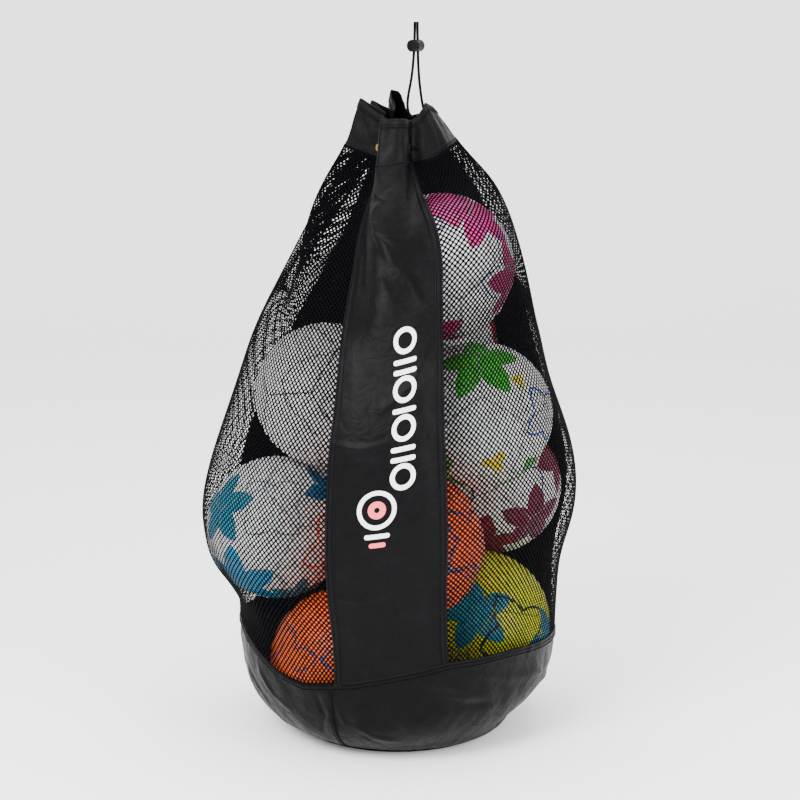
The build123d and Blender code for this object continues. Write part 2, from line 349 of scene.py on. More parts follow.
@dataclass(frozen=True)
class KnittedPolyester:
    """Warp-knitted polyester yarn, dyed in the mass: matt, with a faint fibre halo painted as a lighter
    colour on the loops.
    """

    name: str
    colour: str = "#030304"
    painted_highlight: str = "#08080a"           # painted highlight: a lighter colour where light would catch the loops
    loop: float = 1.3              # mm from one knitted loop to the next
    depth: float = 0.22            # mm
    roughness: float = 0.62

    def build(self) -> bpy.types.Material:
        """Build the material."""
        material, tree, shader = new_material(self.name)
        place = add(tree, "ShaderNodeAttribute", {"attribute_name": "flat"}).outputs["Vector"]
        split = add(tree, "ShaderNodeSeparateXYZ", {}, {0: place})
        loops = maths(tree, "ABSOLUTE",
                      maths(tree, "SINE", maths(tree, "MULTIPLY", split.outputs[0], math.pi / self.loop)))
        fibre = add(tree, "ShaderNodeTexNoise", {"Scale": 1.6, "Detail": 3.0}, {"Vector": place})
        mix = maths(tree, "MULTIPLY", loops, fibre.outputs[0])
        # painted highlight: the loops' crests are mixed towards the lighter colour
        colour = add(tree, "ShaderNodeMix", {"data_type": "RGBA", 6: linear(self.colour),
                                             7: linear(self.painted_highlight)},
                     {0: mix}).outputs[2]
        rough = maths(tree, "ADD", maths(tree, "MULTIPLY", fibre.outputs[0], 0.16), self.roughness - 0.08)
        bump = add(tree, "ShaderNodeBump", {"Strength": 1.0, "Distance": self.depth * MM}, {"Height": mix})
        shader.inputs["Specular IOR Level"].default_value = 0.01
        for socket, name in ((colour, "Base Color"), (rough, "Roughness"), (bump.outputs[0], "Normal")):
            tree.links.new(socket, shader.inputs[name])
        return material


@dataclass(frozen=True)
class TurnedBrass:
    """Stamped brass, barrel-polished and slightly tarnished."""

    name: str
    colour: str = "#5e4820"
    tarnish: str = "#3a2b14"
    roughness: float = 0.34

    def build(self) -> bpy.types.Material:
        """Build the material."""
        material, tree, shader = new_material(self.name)
        place = add(tree, "ShaderNodeTexCoord").outputs["Object"]
        spots = add(tree, "ShaderNodeTexNoise", {"Scale": 420.0, "Detail": 4.0},
                    {"Vector": place}).outputs[0]
        colour = add(tree, "ShaderNodeMix", {"data_type": "RGBA", 6: linear(self.colour),
                                             7: linear(self.tarnish)},
                     {0: add(tree, "ShaderNodeMapRange", {1: 0.5, 2: 0.8},
                             {0: spots}).outputs[0]}).outputs[2]
        rough = add(tree, "ShaderNodeMapRange", {3: self.roughness - 0.06, 4: self.roughness + 0.16},
                    {0: spots})
        shader.inputs["Metallic"].default_value = 1.0
        tree.links.new(colour, shader.inputs["Base Color"])
        tree.links.new(rough.outputs[0], shader.inputs["Roughness"])
        return material


@dataclass(frozen=True)
class MouldedNylon:
    """Injection-moulded nylon with a fine spark-eroded grain."""

    name: str
    colour: str
    roughness: float = 0.46
    specular: float = 0.05         # the spark-eroded grain swallows most of the shine
    grain: float = 0.35            # mm from grain to grain
    depth: float = 0.03            # mm

    def build(self) -> bpy.types.Material:
        """Build the material."""
        material, tree, shader = new_material(self.name)
        place = add(tree, "ShaderNodeTexCoord").outputs["Object"]
        grain = add(tree, "ShaderNodeTexNoise", {"Scale": 1000 / self.grain, "Detail": 2.0},
                    {"Vector": place})
        cloud = add(tree, "ShaderNodeTexNoise", {"Scale": 130.0, "Detail": 3.0}, {"Vector": place})
        base = linear(self.colour)
        pale = tuple(min(1.0, c * 1.5 + 0.004) for c in base[:3]) + (1.0,)
        colour = add(tree, "ShaderNodeMix", {"data_type": "RGBA", 6: base, 7: pale},
                     {0: add(tree, "ShaderNodeMapRange", {1: 0.45, 2: 0.85},
                             {0: cloud.outputs[0]}).outputs[0]})
        rough = add(tree, "ShaderNodeMapRange", {3: self.roughness - 0.08, 4: self.roughness + 0.10},
                    {0: cloud.outputs[0]})
        bump = add(tree, "ShaderNodeBump", {"Strength": 1.0, "Distance": self.depth * MM},
                   {"Height": grain.outputs[0]})
        shader.inputs["IOR"].default_value = 1.53
        shader.inputs["Specular IOR Level"].default_value = self.specular
        for socket, name in ((colour.outputs[2], "Base Color"), (rough.outputs[0], "Roughness"),
                             (bump.outputs[0], "Normal")):
            tree.links.new(socket, shader.inputs[name])
        return material


@dataclass(frozen=True)
class DrawnSteel:
    """Drawn spring steel wire, oiled: bright, with fine lines along the wire."""

    name: str
    colour: str = "#b9bcc0"
    roughness: float = 0.26

    def build(self) -> bpy.types.Material:
        """Build the material."""
        material, tree, shader = new_material(self.name)
        place = add(tree, "ShaderNodeTexCoord").outputs["Object"]
        lines = add(tree, "ShaderNodeTexNoise", {"Scale": 2400.0, "Detail": 2.0},
                    {"Vector": place}).outputs[0]
        rough = add(tree, "ShaderNodeMapRange", {3: self.roughness - 0.08, 4: self.roughness + 0.12},
                    {0: lines})
        shader.inputs["Base Color"].default_value = linear(self.colour)
        shader.inputs["Metallic"].default_value = 1.0
        tree.links.new(rough.outputs[0], shader.inputs["Roughness"])
        return material


@dataclass(frozen=True)
class ScreenInk:
    """Plastisol ink, screen-printed and heat-set: opaque, a little rubbery, with the weave showing."""

    name: str
    colour: str
    roughness: float = 0.48
    weave: float = 0.9             # mm, the cloth's own weave under the ink
    depth: float = 0.04            # mm

    def build(self) -> bpy.types.Material:
        """Build the material."""
        material, tree, shader = new_material(self.name)
        place = add(tree, "ShaderNodeAttribute", {"attribute_name": "flat"}).outputs["Vector"]
        split = add(tree, "ShaderNodeSeparateXYZ", {}, {0: place})
        threads = plain_weave(tree, split, self.weave)
        cloud = add(tree, "ShaderNodeTexNoise", {"Scale": 0.12, "Detail": 4.0},
                    {"Vector": place}).outputs[0]
        base = linear(self.colour)
        dull = tuple(c * 0.90 for c in base[:3]) + (1.0,)
        colour = add(tree, "ShaderNodeMix", {"data_type": "RGBA", 6: base, 7: dull}, {0: cloud}).outputs[2]
        rough = add(tree, "ShaderNodeMapRange", {3: self.roughness - 0.06, 4: self.roughness + 0.12},
                    {0: cloud})
        bump = add(tree, "ShaderNodeBump", {"Strength": 1.0, "Distance": self.depth * MM},
                   {"Height": threads})
        for socket, name in ((colour, "Base Color"), (rough.outputs[0], "Roughness"),
                             (bump.outputs[0], "Normal")):
            tree.links.new(socket, shader.inputs[name])
        return material


@dataclass(frozen=True)
class Patch:
    """A star or fan of colour on a ball: where it sits, its size and its points."""

    side: float                    # degrees round the ball, 0 facing the front and 90 the right
    rise: float                    # degrees above the ball's middle
    reach: float                   # degrees from its middle to its mean edge
    swing: float                   # degrees by which its points stand in and out
    points: float                  # how many points it has
    turn: float = 0.0
    outline: float = 0.0           # degrees of width; 0 fills it, more draws only its edge
    colour: str = "#2f6fa8"


@dataclass(frozen=True)
class BallShell:
    """Thermo-bonded polyurethane ball shell: a fine pebbled grain under a clear satin coat."""

    name: str
    base: str
    seam: str = "#8d8f93"
    patches: tuple[Patch, ...] = ()
    roughness: float = 0.36
    pebble: float = 1.6            # mm from pebble to pebble
    depth: float = 0.10            # mm

    def mask(self, tree: bpy.types.NodeTree, way: Any, patch: Patch) -> Any:
        """Work out where one patch is.

        Args:
            tree: the node tree.
            way: the socket of the direction from the ball's middle.
            patch: the patch.

        Returns:
            The socket of a 0 or 1.
        """
        side, rise = math.radians(patch.side), math.radians(patch.rise)
        axis = Vector((math.sin(side) * math.cos(rise), -math.cos(side) * math.cos(rise), math.sin(rise)))
        east = Vector((math.cos(side), math.sin(side), 0.0))
        north = axis.cross(east)
        dots = [add(tree, "ShaderNodeVectorMath", {"operation": "DOT_PRODUCT", 1: tuple(v)},
                    {0: way}).outputs[1]
                for v in (axis, east, north)]
        reach = maths(tree, "ARCCOSINE", dots[0])
        round_it = maths(tree, "ARCTAN2", dots[2], dots[1])
        turns = maths(tree, "MULTIPLY_ADD", round_it, patch.points / (2 * math.pi), patch.turn + 20.0)
        points = maths(tree, "PINGPONG", turns, 0.5)
        edge = maths(tree, "MULTIPLY_ADD", points, math.radians(patch.swing) * 4,
                     math.radians(patch.reach - patch.swing))
        if patch.outline:
            gap = maths(tree, "ABSOLUTE", maths(tree, "SUBTRACT", reach, edge))
            return maths(tree, "LESS_THAN", gap, math.radians(patch.outline) / 2)
        return maths(tree, "LESS_THAN", reach, edge)

    def build(self) -> tuple[bpy.types.Material, bpy.types.Material]:
        """Build the panel's material and the seam's."""
        made = []
        for part in ("shell", "seam"):
            material, tree, shader = new_material(f"{self.name}_{part}")
            place = add(tree, "ShaderNodeTexCoord").outputs["Object"]
            cells = add(tree, "ShaderNodeTexVoronoi", {"Scale": 1000 / self.pebble}, {"Vector": place})
            dirt = add(tree, "ShaderNodeTexNoise", {"Scale": 16.0, "Detail": 5.0},
                       {"Vector": place}).outputs[0]
            base = linear(self.base if part == "shell" else self.seam)
            dull = tuple(c * 0.88 for c in base[:3]) + (1.0,)
            colour = add(tree, "ShaderNodeMix", {"data_type": "RGBA", 6: base, 7: dull},
                         {0: dirt}).outputs[2]
            if part == "shell":
                way = add(tree, "ShaderNodeVectorMath", {"operation": "NORMALIZE"}, {0: place}).outputs[0]
                for patch in self.patches:
                    shown = self.mask(tree, way, patch)
                    colour = add(tree, "ShaderNodeMix", {"data_type": "RGBA", 7: linear(patch.colour)},
                                 {0: shown, 6: colour}).outputs[2]
            rough = add(tree, "ShaderNodeMapRange", {3: self.roughness - 0.06, 4: self.roughness + 0.14},
                        {0: dirt})
            bump = add(tree, "ShaderNodeBump", {"Strength": 1.0, "Distance": self.depth * MM},
                       {"Height": cells.outputs[0]})
            shader.inputs["Coat Weight"].default_value = 0.15
            shader.inputs["Coat Roughness"].default_value = 0.25
            for socket, name in ((colour, "Base Color"), (rough.outputs[0], "Roughness"),
                                 (bump.outputs[0], "Normal")):
                tree.links.new(socket, shader.inputs[name])
            made.append(material)
        return made[0], made[1]


# ---------------------------------------------------------------- the bag's form


class Cloth(Enum):
    """What a panel is made of, as it behaves over the balls."""

    NET = "net"
    WOVEN = "woven"


@dataclass(frozen=True)
class Panel:
    """One upright panel: its column numbers on the cloth grid and its cut width."""

    name: str
    first: int
    columns: int
    width: float                   # metres, cut
    cloth: Cloth

    @property
    def last(self) -> int:
        """The column of its right seam."""
        return self.first + self.columns


@dataclass
class BagForm:
    """The sack's shape: its cloth grid, the gathered mouth, and how it lies over the balls."""

    rows: int = 112
    axis: tuple[float, float] = (10.0, 10.0)
    band_top: tuple[tuple[float, float], ...] = (
        # direction in degrees, height of the band's seam in mm
        (-180, 175), (-170, 176), (-154, 157), (-136, 131), (-124, 122), (-104, 136), (-91, 149),
        (-72, 166), (-46, 168), (-17, 158), (2, 155), (60, 148), (110, 150), (150, 166), (180, 175))
    mouth: tuple[tuple[float, float, float, float, float], ...] = (
        # each pleat corner: x, y, its lower and upper z, and how much of its reach is left at 970 mm
        (-22, -86, 876, 949, 0.80), (27, -88, 884, 950, 0.80), (34, -34, 886, 944, 0.85),
        (62, -46, 890, 958, 0.58), (100, -22, 908, 972, 0.42), (126, 40, 917, 963, 0.40),
        (50, 18, 905, 950, 0.55), (86, 88, 906, 956, 0.52), (36, 28, 902, 950, 0.60),
        (14, 94, 900, 984, 0.65), (-14, 92, 900, 988, 0.66), (6, 24, 902, 956, 0.60),
        (-56, 66, 905, 974, 0.66), (-8, 6, 903, 953, 0.70), (-77, -2, 911, 980, 0.72),
        (2, -28, 888, 944, 0.85))
    mouth_axis: tuple[float, float] = (24.0, -4.0)
    foot: float = 890.0
    crown: float = 970.0
    left_seam: tuple[tuple[float, float], ...] = ((150, -78), (415, -86), (695, -56), (887, -22))
    right_seam: tuple[tuple[float, float], ...] = ((150, 88), (415, 82), (695, 70), (887, 28))
    # by height, degrees
    back_from: tuple[tuple[float, float], ...] = ((540, 12), (650, 23), (768, 33), (887, 30))
    back_to: tuple[tuple[float, float], ...] = ((430, 150), (654, 132), (831, 120), (887, 116))
    pleats_from: float = 600.0     # mm, where the pleats fade out
    # where the net draws in between the balls: direction, height, degrees wide, mm tall, mm deep
    hollows: tuple[tuple[float, float, float, float, float], ...] = (
        (-2, 560, 62, 105, 36), (180, 500, 55, 110, 13), (190, 800, 55, 70, -20), (-8, 835, 45, 40, -8))
    clearance: float = 1.6 * MM    # from a ball to the cloth's middle
    taut_low: float = 0.985        # cut length over hung length, round the balls and above them
    taut_high: float = 0.997
    tip_spread: float = 0.24       # how far the pleats' tips stand out just under the mouth
    pull: float = 0.22             # share of the stretch taken out in a round
    stiffness: float = 0.20        # share of each kink taken out in a round
    drape: float = 0.006           # share of each curve taken out in a round
    panels: tuple[Panel, ...] = (
        Panel("front", 0, 24, 0.172, Cloth.WOVEN),
        Panel("right", 24, 60, 0.415, Cloth.NET),
        Panel("back", 84, 84, 0.600, Cloth.WOVEN),
        Panel("left", 168, 66, 0.470, Cloth.NET))
    grid: Array = field(default_factory=lambda: np.zeros((0, 0, 3)))

    @property
    def columns(self) -> int:
        """How many columns go round the sack."""
        return self.panels[-1].last

    def panel(self, name: str) -> Panel:
        """Find a panel by name."""
        return next(p for p in self.panels if p.name == name)

    def shell(self, names: Iterable[str]) -> BVHTree:
        """Join CAD walls into one tree of faces for measuring.

        Args:
            names: the CAD nodes.

        Returns:
            The tree.
        """
        points: list = []
        faces: list = []
        for name in names:
            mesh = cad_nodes()[name].data
            start = len(points)
            points += [v.co.copy() for v in mesh.vertices]
            faces += [[start + i for i in p.vertices] for p in mesh.polygons]
        return BVHTree.FromPolygons(points, faces)

    def measure(self, low: float, high: float, names: Iterable[str]) -> tuple[Array, Array]:
        """Measure the walls' outside distance from the axis.

        Args:
            low, high: the heights to measure between, in mm.
            names: the CAD nodes that make the walls.

        Returns:
            The heights in mm, and a row of 360 distances in mm for each.
        """
        tree = self.shell(names)
        heights = np.linspace(low, high, 96)
        table = np.zeros((len(heights), 360))
        for i, z in enumerate(heights):
            for a in range(360):
                out = Vector((math.cos(math.radians(a)), math.sin(math.radians(a)), 0))
                start = Vector((self.axis[0] * MM, self.axis[1] * MM, z * MM)) + out * 0.7
                hit = tree.ray_cast(start, -out, 0.69)
                table[i, a] = (0.7 - hit[3]) * 1000 if hit[0] is not None else np.nan
            row = table[i]
            known = ~np.isnan(row)
            table[i] = np.interp(np.arange(360), np.arange(360)[known], row[known], period=360)
        return heights, table

    def mouth_point(self, corner: Array, z: Array) -> Array:
        """Place a pleat corner at a height.

        Args:
            corner: x and y at the foot in mm, and the share of its reach that is left at the crown.
            z: heights in mm.

        Returns:
            x, y and z in mm.
        """
        share = 1 - (1 - corner[..., 2]) * (z - self.foot) / (self.crown - self.foot)
        centre = np.array(self.mouth_axis)
        flat = centre + (corner[..., :2] - centre) * share[..., None]
        return np.concatenate([flat, z[..., None]], axis=-1)

    def mouth_columns(self, steps: int = 1) -> tuple[Array, Array, Array]:
        """Share the pleated mouth's outline among the cloth's columns.

        Args:
            steps: how many points for each column.

        Returns:
            Each point's x and y at the foot with its share, its lower height and its upper height, in mm.
        """
        ends = {"front": (15, 18), "right": (2, 7), "back": (7, 10), "left": (10, 15)}
        corners = np.array(self.mouth, dtype=float)
        parts = []
        for panel in self.panels:
            low, high = ends[panel.name]
            line = corners[[i % 16 for i in range(low, high + 1)]]
            run = distance_along(line[:, :2])
            where = np.linspace(0, run[-1], panel.columns * steps + 1)[:-1]
            parts.append(read_line(where, run, line))
        around = np.concatenate(parts)
        for _ in range(5 * steps * steps):
            around = around * 0.5 + (np.roll(around, 1, 0) + np.roll(around, -1, 0)) * 0.25
        return around[:, [0, 1, 4]], around[:, 2], around[:, 3]

    def start(self) -> Array:
        """Lay the cloth on the CAD walls, with its top gathered into the mouth.

        Returns:
            The grid of points, row by row from the band's seam to the mouth, in metres.
        """
        heights, table = self.measure(118, 886, ("front_panel", "back_panel", "mesh_left", "mesh_right",
                                                 "base_band"))
        foot, lower, _ = self.mouth_columns()
        levels = np.linspace(0, 1, 140)
        axis = np.array(self.axis)
        made = np.zeros((len(levels), self.columns, 3))
        angles = np.radians(np.arange(361))
        for i, level in enumerate(levels):
            z = 150 + (887 - 150) * level
            radius = np.array([np.interp(z, heights, table[:, a % 360]) for a in range(361)])
            for way, at, wide, tall, deep in self.hollows:
                off = (np.arange(361) - way + 180) % 360 - 180
                radius = radius - deep * np.exp(-((z - at) / tall) ** 2) * np.exp(-((off / wide) ** 2))
            ring = axis + np.stack([np.cos(angles), np.sin(angles)], 1) * radius[:, None]
            run = distance_along(ring)
            degrees = []
            for seam in (self.left_seam, self.right_seam):
                x = np.interp(z, [s[0] for s in seam], [s[1] for s in seam])
                front = np.arange(200, 340)
                degrees.append(float(np.interp(x, ring[front, 0], front)))
            back = [float(np.interp(z, *np.array(edge).T)) for edge in (self.back_from, self.back_to)]
            marks = [degrees[0], degrees[1], back[0] + 360, back[1] + 360, degrees[0] + 360]
            whole = run[-1]
            at = [float(np.interp(m % 360, np.arange(361), run)) + whole * (m // 360) for m in marks]
            where = np.concatenate([np.linspace(at[k], at[k + 1], p.columns + 1)[:-1]
                                    for k, p in enumerate(self.panels)])
            turned = np.interp(where % whole, run, np.arange(361))
            flat = read_line(where % whole, run, ring)
            seam_z = np.interp((turned + 180) % 360 - 180, *np.array(self.band_top).T)
            real = seam_z + (lower - seam_z) * level
            pull = smoothstep((real - self.pleats_from) / (lower - self.pleats_from)) ** 1.1
            middle, size = ring[:-1].mean(0), radius[:-1].mean()
            if i == 0:
                neck = np.array([np.interp(887, heights, table[:, a]) for a in range(360)])
                neck_ring = axis + np.stack([np.cos(angles[:-1]), np.sin(angles[:-1])], 1) * neck[:, None]
                neck_middle, neck_size = neck_ring.mean(0), neck.mean()
            target = self.mouth_point(foot, lower)[:, :2]
            # just under the mouth the pleats' tips come out to the sack's own outline
            spread = 1 + self.tip_spread * smoothstep((lower - real) / 70)
            target = middle + (target - neck_middle) * (size / neck_size * spread)[:, None]
            made[i] = np.concatenate([flat * (1 - pull[:, None]) + target * pull[:, None], real[:, None]],
                                     1)
        run = np.concatenate([np.zeros((1, self.columns)),
                              np.cumsum(np.linalg.norm(np.diff(made, axis=0), axis=2), axis=0)])
        grid = np.zeros((self.rows + 1, self.columns, 3))
        for c in range(self.columns):
            where = np.linspace(0, run[-1, c], self.rows + 1)
            for k in range(3):
                grid[:, c, k] = np.interp(where, run[:, c], made[:, c, k])
        return grid * MM

    def relax(self, balls: Array, radius: float, rounds: int) -> None:
        """Let the cloth find its rest over the balls, held at the band's seam and at the mouth.

        Args:
            balls: the balls' middles, in metres.
            radius: the balls' radius, in metres.
            rounds: how many rounds of sharing out the stretch.
        """
        start = self.start()
        grid = start.copy()
        across = np.concatenate([np.full(p.columns, p.width / p.columns) for p in self.panels])
        woven = np.concatenate([np.full(p.columns, p.cloth is Cloth.WOVEN) for p in self.panels])
        high = smoothstep((start[1:, :, 2] - 0.50) / 0.15)
        up = np.linalg.norm(np.diff(start, axis=0), axis=2) * (
            self.taut_low + (self.taut_high - self.taut_low) * high)
        loose_across = np.where(woven, 0.30, 0.02)
        keep = radius + self.clearance
        slant = np.sqrt(across ** 2 + up.mean() ** 2)
        for _ in range(rounds):
            move = np.zeros_like(grid)
            step = grid[1:] - grid[:-1]
            length = np.linalg.norm(step, axis=2)
            share = (length - up) / np.maximum(length, 1e-9)
            share = np.where(share > 0, share, share * 0.15)[..., None] * step
            move[:-1] += share
            move[1:] -= share
            step = np.roll(grid, -1, 1) - grid
            length = np.linalg.norm(step, axis=2)
            share = (length - across) / np.maximum(length, 1e-9)
            share = np.where(share > 0, share * 0.8, share * loose_across)[..., None] * step
            move += share - np.roll(share, 1, 1)
            for way in (-1, 1):
                step = np.roll(grid, way, 1)[1:] - grid[:-1]
                length = np.linalg.norm(step, axis=2)
                share = (length - slant) / np.maximum(length, 1e-9)
                share = np.where(share > 0, share * 0.5, 0)[..., None] * step
                move[:-1] += share
                move[1:] -= np.roll(share, -way, 1)
            # bending: take out kinks, and leave smooth curves as they are
            even = (np.roll(grid, 1, 1) + np.roll(grid, -1, 1)) / 2 - grid
            even[1:-1] += (grid[2:] + grid[:-2]) / 2 - grid[1:-1]
            soft = (np.roll(even, 1, 1) + np.roll(even, -1, 1) + 2 * even) / 4
            soft[1:-1] = (soft[2:] + soft[:-2] + 2 * soft[1:-1]) / 4
            grid[1:-1] += (move[1:-1] * self.pull + (even - soft)[1:-1] * self.stiffness
                            + even[1:-1] * self.drape)
            for ball in balls:
                away = grid - ball
                far = np.linalg.norm(away, axis=2)
                near = far < keep
                grid[near] += away[near] * ((keep - far[near]) / far[near])[:, None]
            grid[0], grid[-1] = start[0], start[-1]
        self.grid = grid
        LOG.info("cloth relaxed in %d rounds; greatest move %.0f mm", rounds,
                 1000 * np.linalg.norm(grid - start, axis=2).max())

    def point(self, across: Array, up: Array) -> Array:
        """Read the cloth smoothly between its grid points.

        Args:
            across: column numbers, whole or part.
            up: row numbers, whole or part.

        Returns:
            Points in metres.
        """
        across, up = np.broadcast_arrays(np.asarray(across, float), np.asarray(up, float))
        c0, r0 = np.floor(across).astype(int), np.clip(np.floor(up).astype(int), 0, self.rows - 1)
        tc, tr = across - c0, up - r0

        def weights(t: Array) -> Array:
            """Catmull-Rom weights of four neighbours."""
            return np.stack([-0.5 * t + t ** 2 - 0.5 * t ** 3, 1 - 2.5 * t ** 2 + 1.5 * t ** 3,
                             0.5 * t + 2 * t ** 2 - 1.5 * t ** 3, -0.5 * t ** 2 + 0.5 * t ** 3], -1)

        wc, wr = weights(tc), weights(tr)
        total = np.zeros(across.shape + (3,))
        for i in range(4):
            row = np.clip(r0 + i - 1, 0, self.rows)
            for k in range(4):
                total += self.grid[row, (c0 + k - 1) % self.columns] * (wr[..., i] * wc[..., k])[..., None]
        return total

    def normal(self, across: Array, up: Array) -> Array:
        """The cloth's outward direction at the same places as point()."""
        step = 0.4
        u = self.point(np.asarray(across) + step, up) - self.point(np.asarray(across) - step, up)
        high, low = np.minimum(np.asarray(up) + step, self.rows), np.maximum(np.asarray(up) - step, 0)
        return unit(np.cross(u, self.point(across, high) - self.point(across, low)))

    def height(self, panel: Panel) -> float:
        """A panel's length along its middle, in metres."""
        column = self.grid[:, panel.first + panel.columns // 2]
        return float(np.linalg.norm(np.diff(column, axis=0), axis=1).sum())


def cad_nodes() -> dict:
    """The CAD nodes by name."""
    return FRAME["nodes"]


# ---------------------------------------------------------------- sewing


@dataclass
class Sewing:
    """Lock stitches of bonded thread, gathered into one piece for each seam."""

    pitch: float = 3.4 * MM
    length: float = 2.7 * MM
    width: float = 1.25 * MM

    def row(self, points: Array, normals: Array, lift: float = 0.2 * MM) -> tuple[Array, Array]:
        """Sew one row of stitches.

        Args:
            points: the row's line, in metres.
            normals: the cloth's outward direction along it.
            lift: how far the stitches stand off the line.

        Returns:
            The stitches' points and triangles.
        """
        run = distance_along(points)
        middles = np.arange(self.pitch / 2, run[-1], self.pitch)
        at = read_line(middles, run, points)
        front = read_line(middles + self.length / 2, run, points)
        back = read_line(middles - self.length / 2, run, points)
        out = unit(read_line(middles, run, normals))
        side = unit(np.cross(front - back, out))
        at = at + out * lift
        dip = out * lift
        rings = []
        for share in (-0.30, 0.30):
            middle = at + (front - back) * share
            for turn in range(4):
                angle = math.pi / 4 + turn * math.pi / 2
                rings.append(middle + side * (math.cos(angle) * self.width * 0.55)
                             + out * (math.sin(angle) * self.width * 0.45))
        block = np.stack([back + dip * 0.3, *rings, front + dip * 0.3], 1)
        local = [(0, 1 + (k + 1) % 4, 1 + k) for k in range(4)]
        for k in range(4):
            a, b, c, d = 1 + k, 1 + (k + 1) % 4, 5 + (k + 1) % 4, 5 + k
            local += [(a, b, c), (a, c, d)]
        local += [(9, 5 + k, 5 + (k + 1) % 4) for k in range(4)]
        faces = (np.arange(len(block))[:, None, None] * 10 + np.array(local)[None]).reshape(-1, 3)
        return block.reshape(-1, 3), faces

    def sew(self, name: str, rows: Sequence[tuple[Array, Array]], slot: str,
            thread: bpy.types.Material) -> bpy.types.Object:
        """Sew several rows as one piece.

        Args:
            name: the piece's name.
            rows: each row's points and normals.
            slot: the record's material slot.
            thread: the thread's material.

        Returns:
            The piece.
        """
        points, faces, start = [], [], 0
        for line, normals in rows:
            p, f = self.row(line, normals)
            points.append(p)
            faces.append(f + start)
            start += len(p)
        piece = mesh_piece(name, np.concatenate(points), np.concatenate(faces))
        note_flat(piece, np.concatenate(points)[:, [2, 0]] * 1000)
        return finish_piece(piece, "bag", slot, thread)


# ---------------------------------------------------------------- the woven panels


@dataclass(frozen=True)
class Crease:
    """A fold pressed into the cloth: a line on the flat cloth, its width and its height, in millimetres."""

    line: tuple[tuple[float, float], ...]
    width: float
    height: float

    def lift(self, x: Array, y: Array) -> Array:
        """How far the crease lifts the cloth at some places."""
        line = np.array(self.line, dtype=float)
        near = np.full(x.shape, 1e9)
        total = 0.0
        for a, b in zip(line[:-1], line[1:]):
            run = b - a
            share = np.clip(((x - a[0]) * run[0] + (y - a[1]) * run[1]) / (run @ run), 0, 1)
            gap = np.hypot(x - a[0] - share * run[0], y - a[1] - share * run[1])
            near = np.minimum(near, gap)
            total += float(np.hypot(*run))
        ends = np.minimum(np.hypot(x - line[0, 0], y - line[0, 1]),
                          np.hypot(x - line[-1, 0], y - line[-1, 1]))
        fade = np.where(near < self.width * 3, smoothstep(0.45 + ends / (total * 0.35)), 1)
        return self.height * np.exp(-((near / self.width) ** 2)) * fade


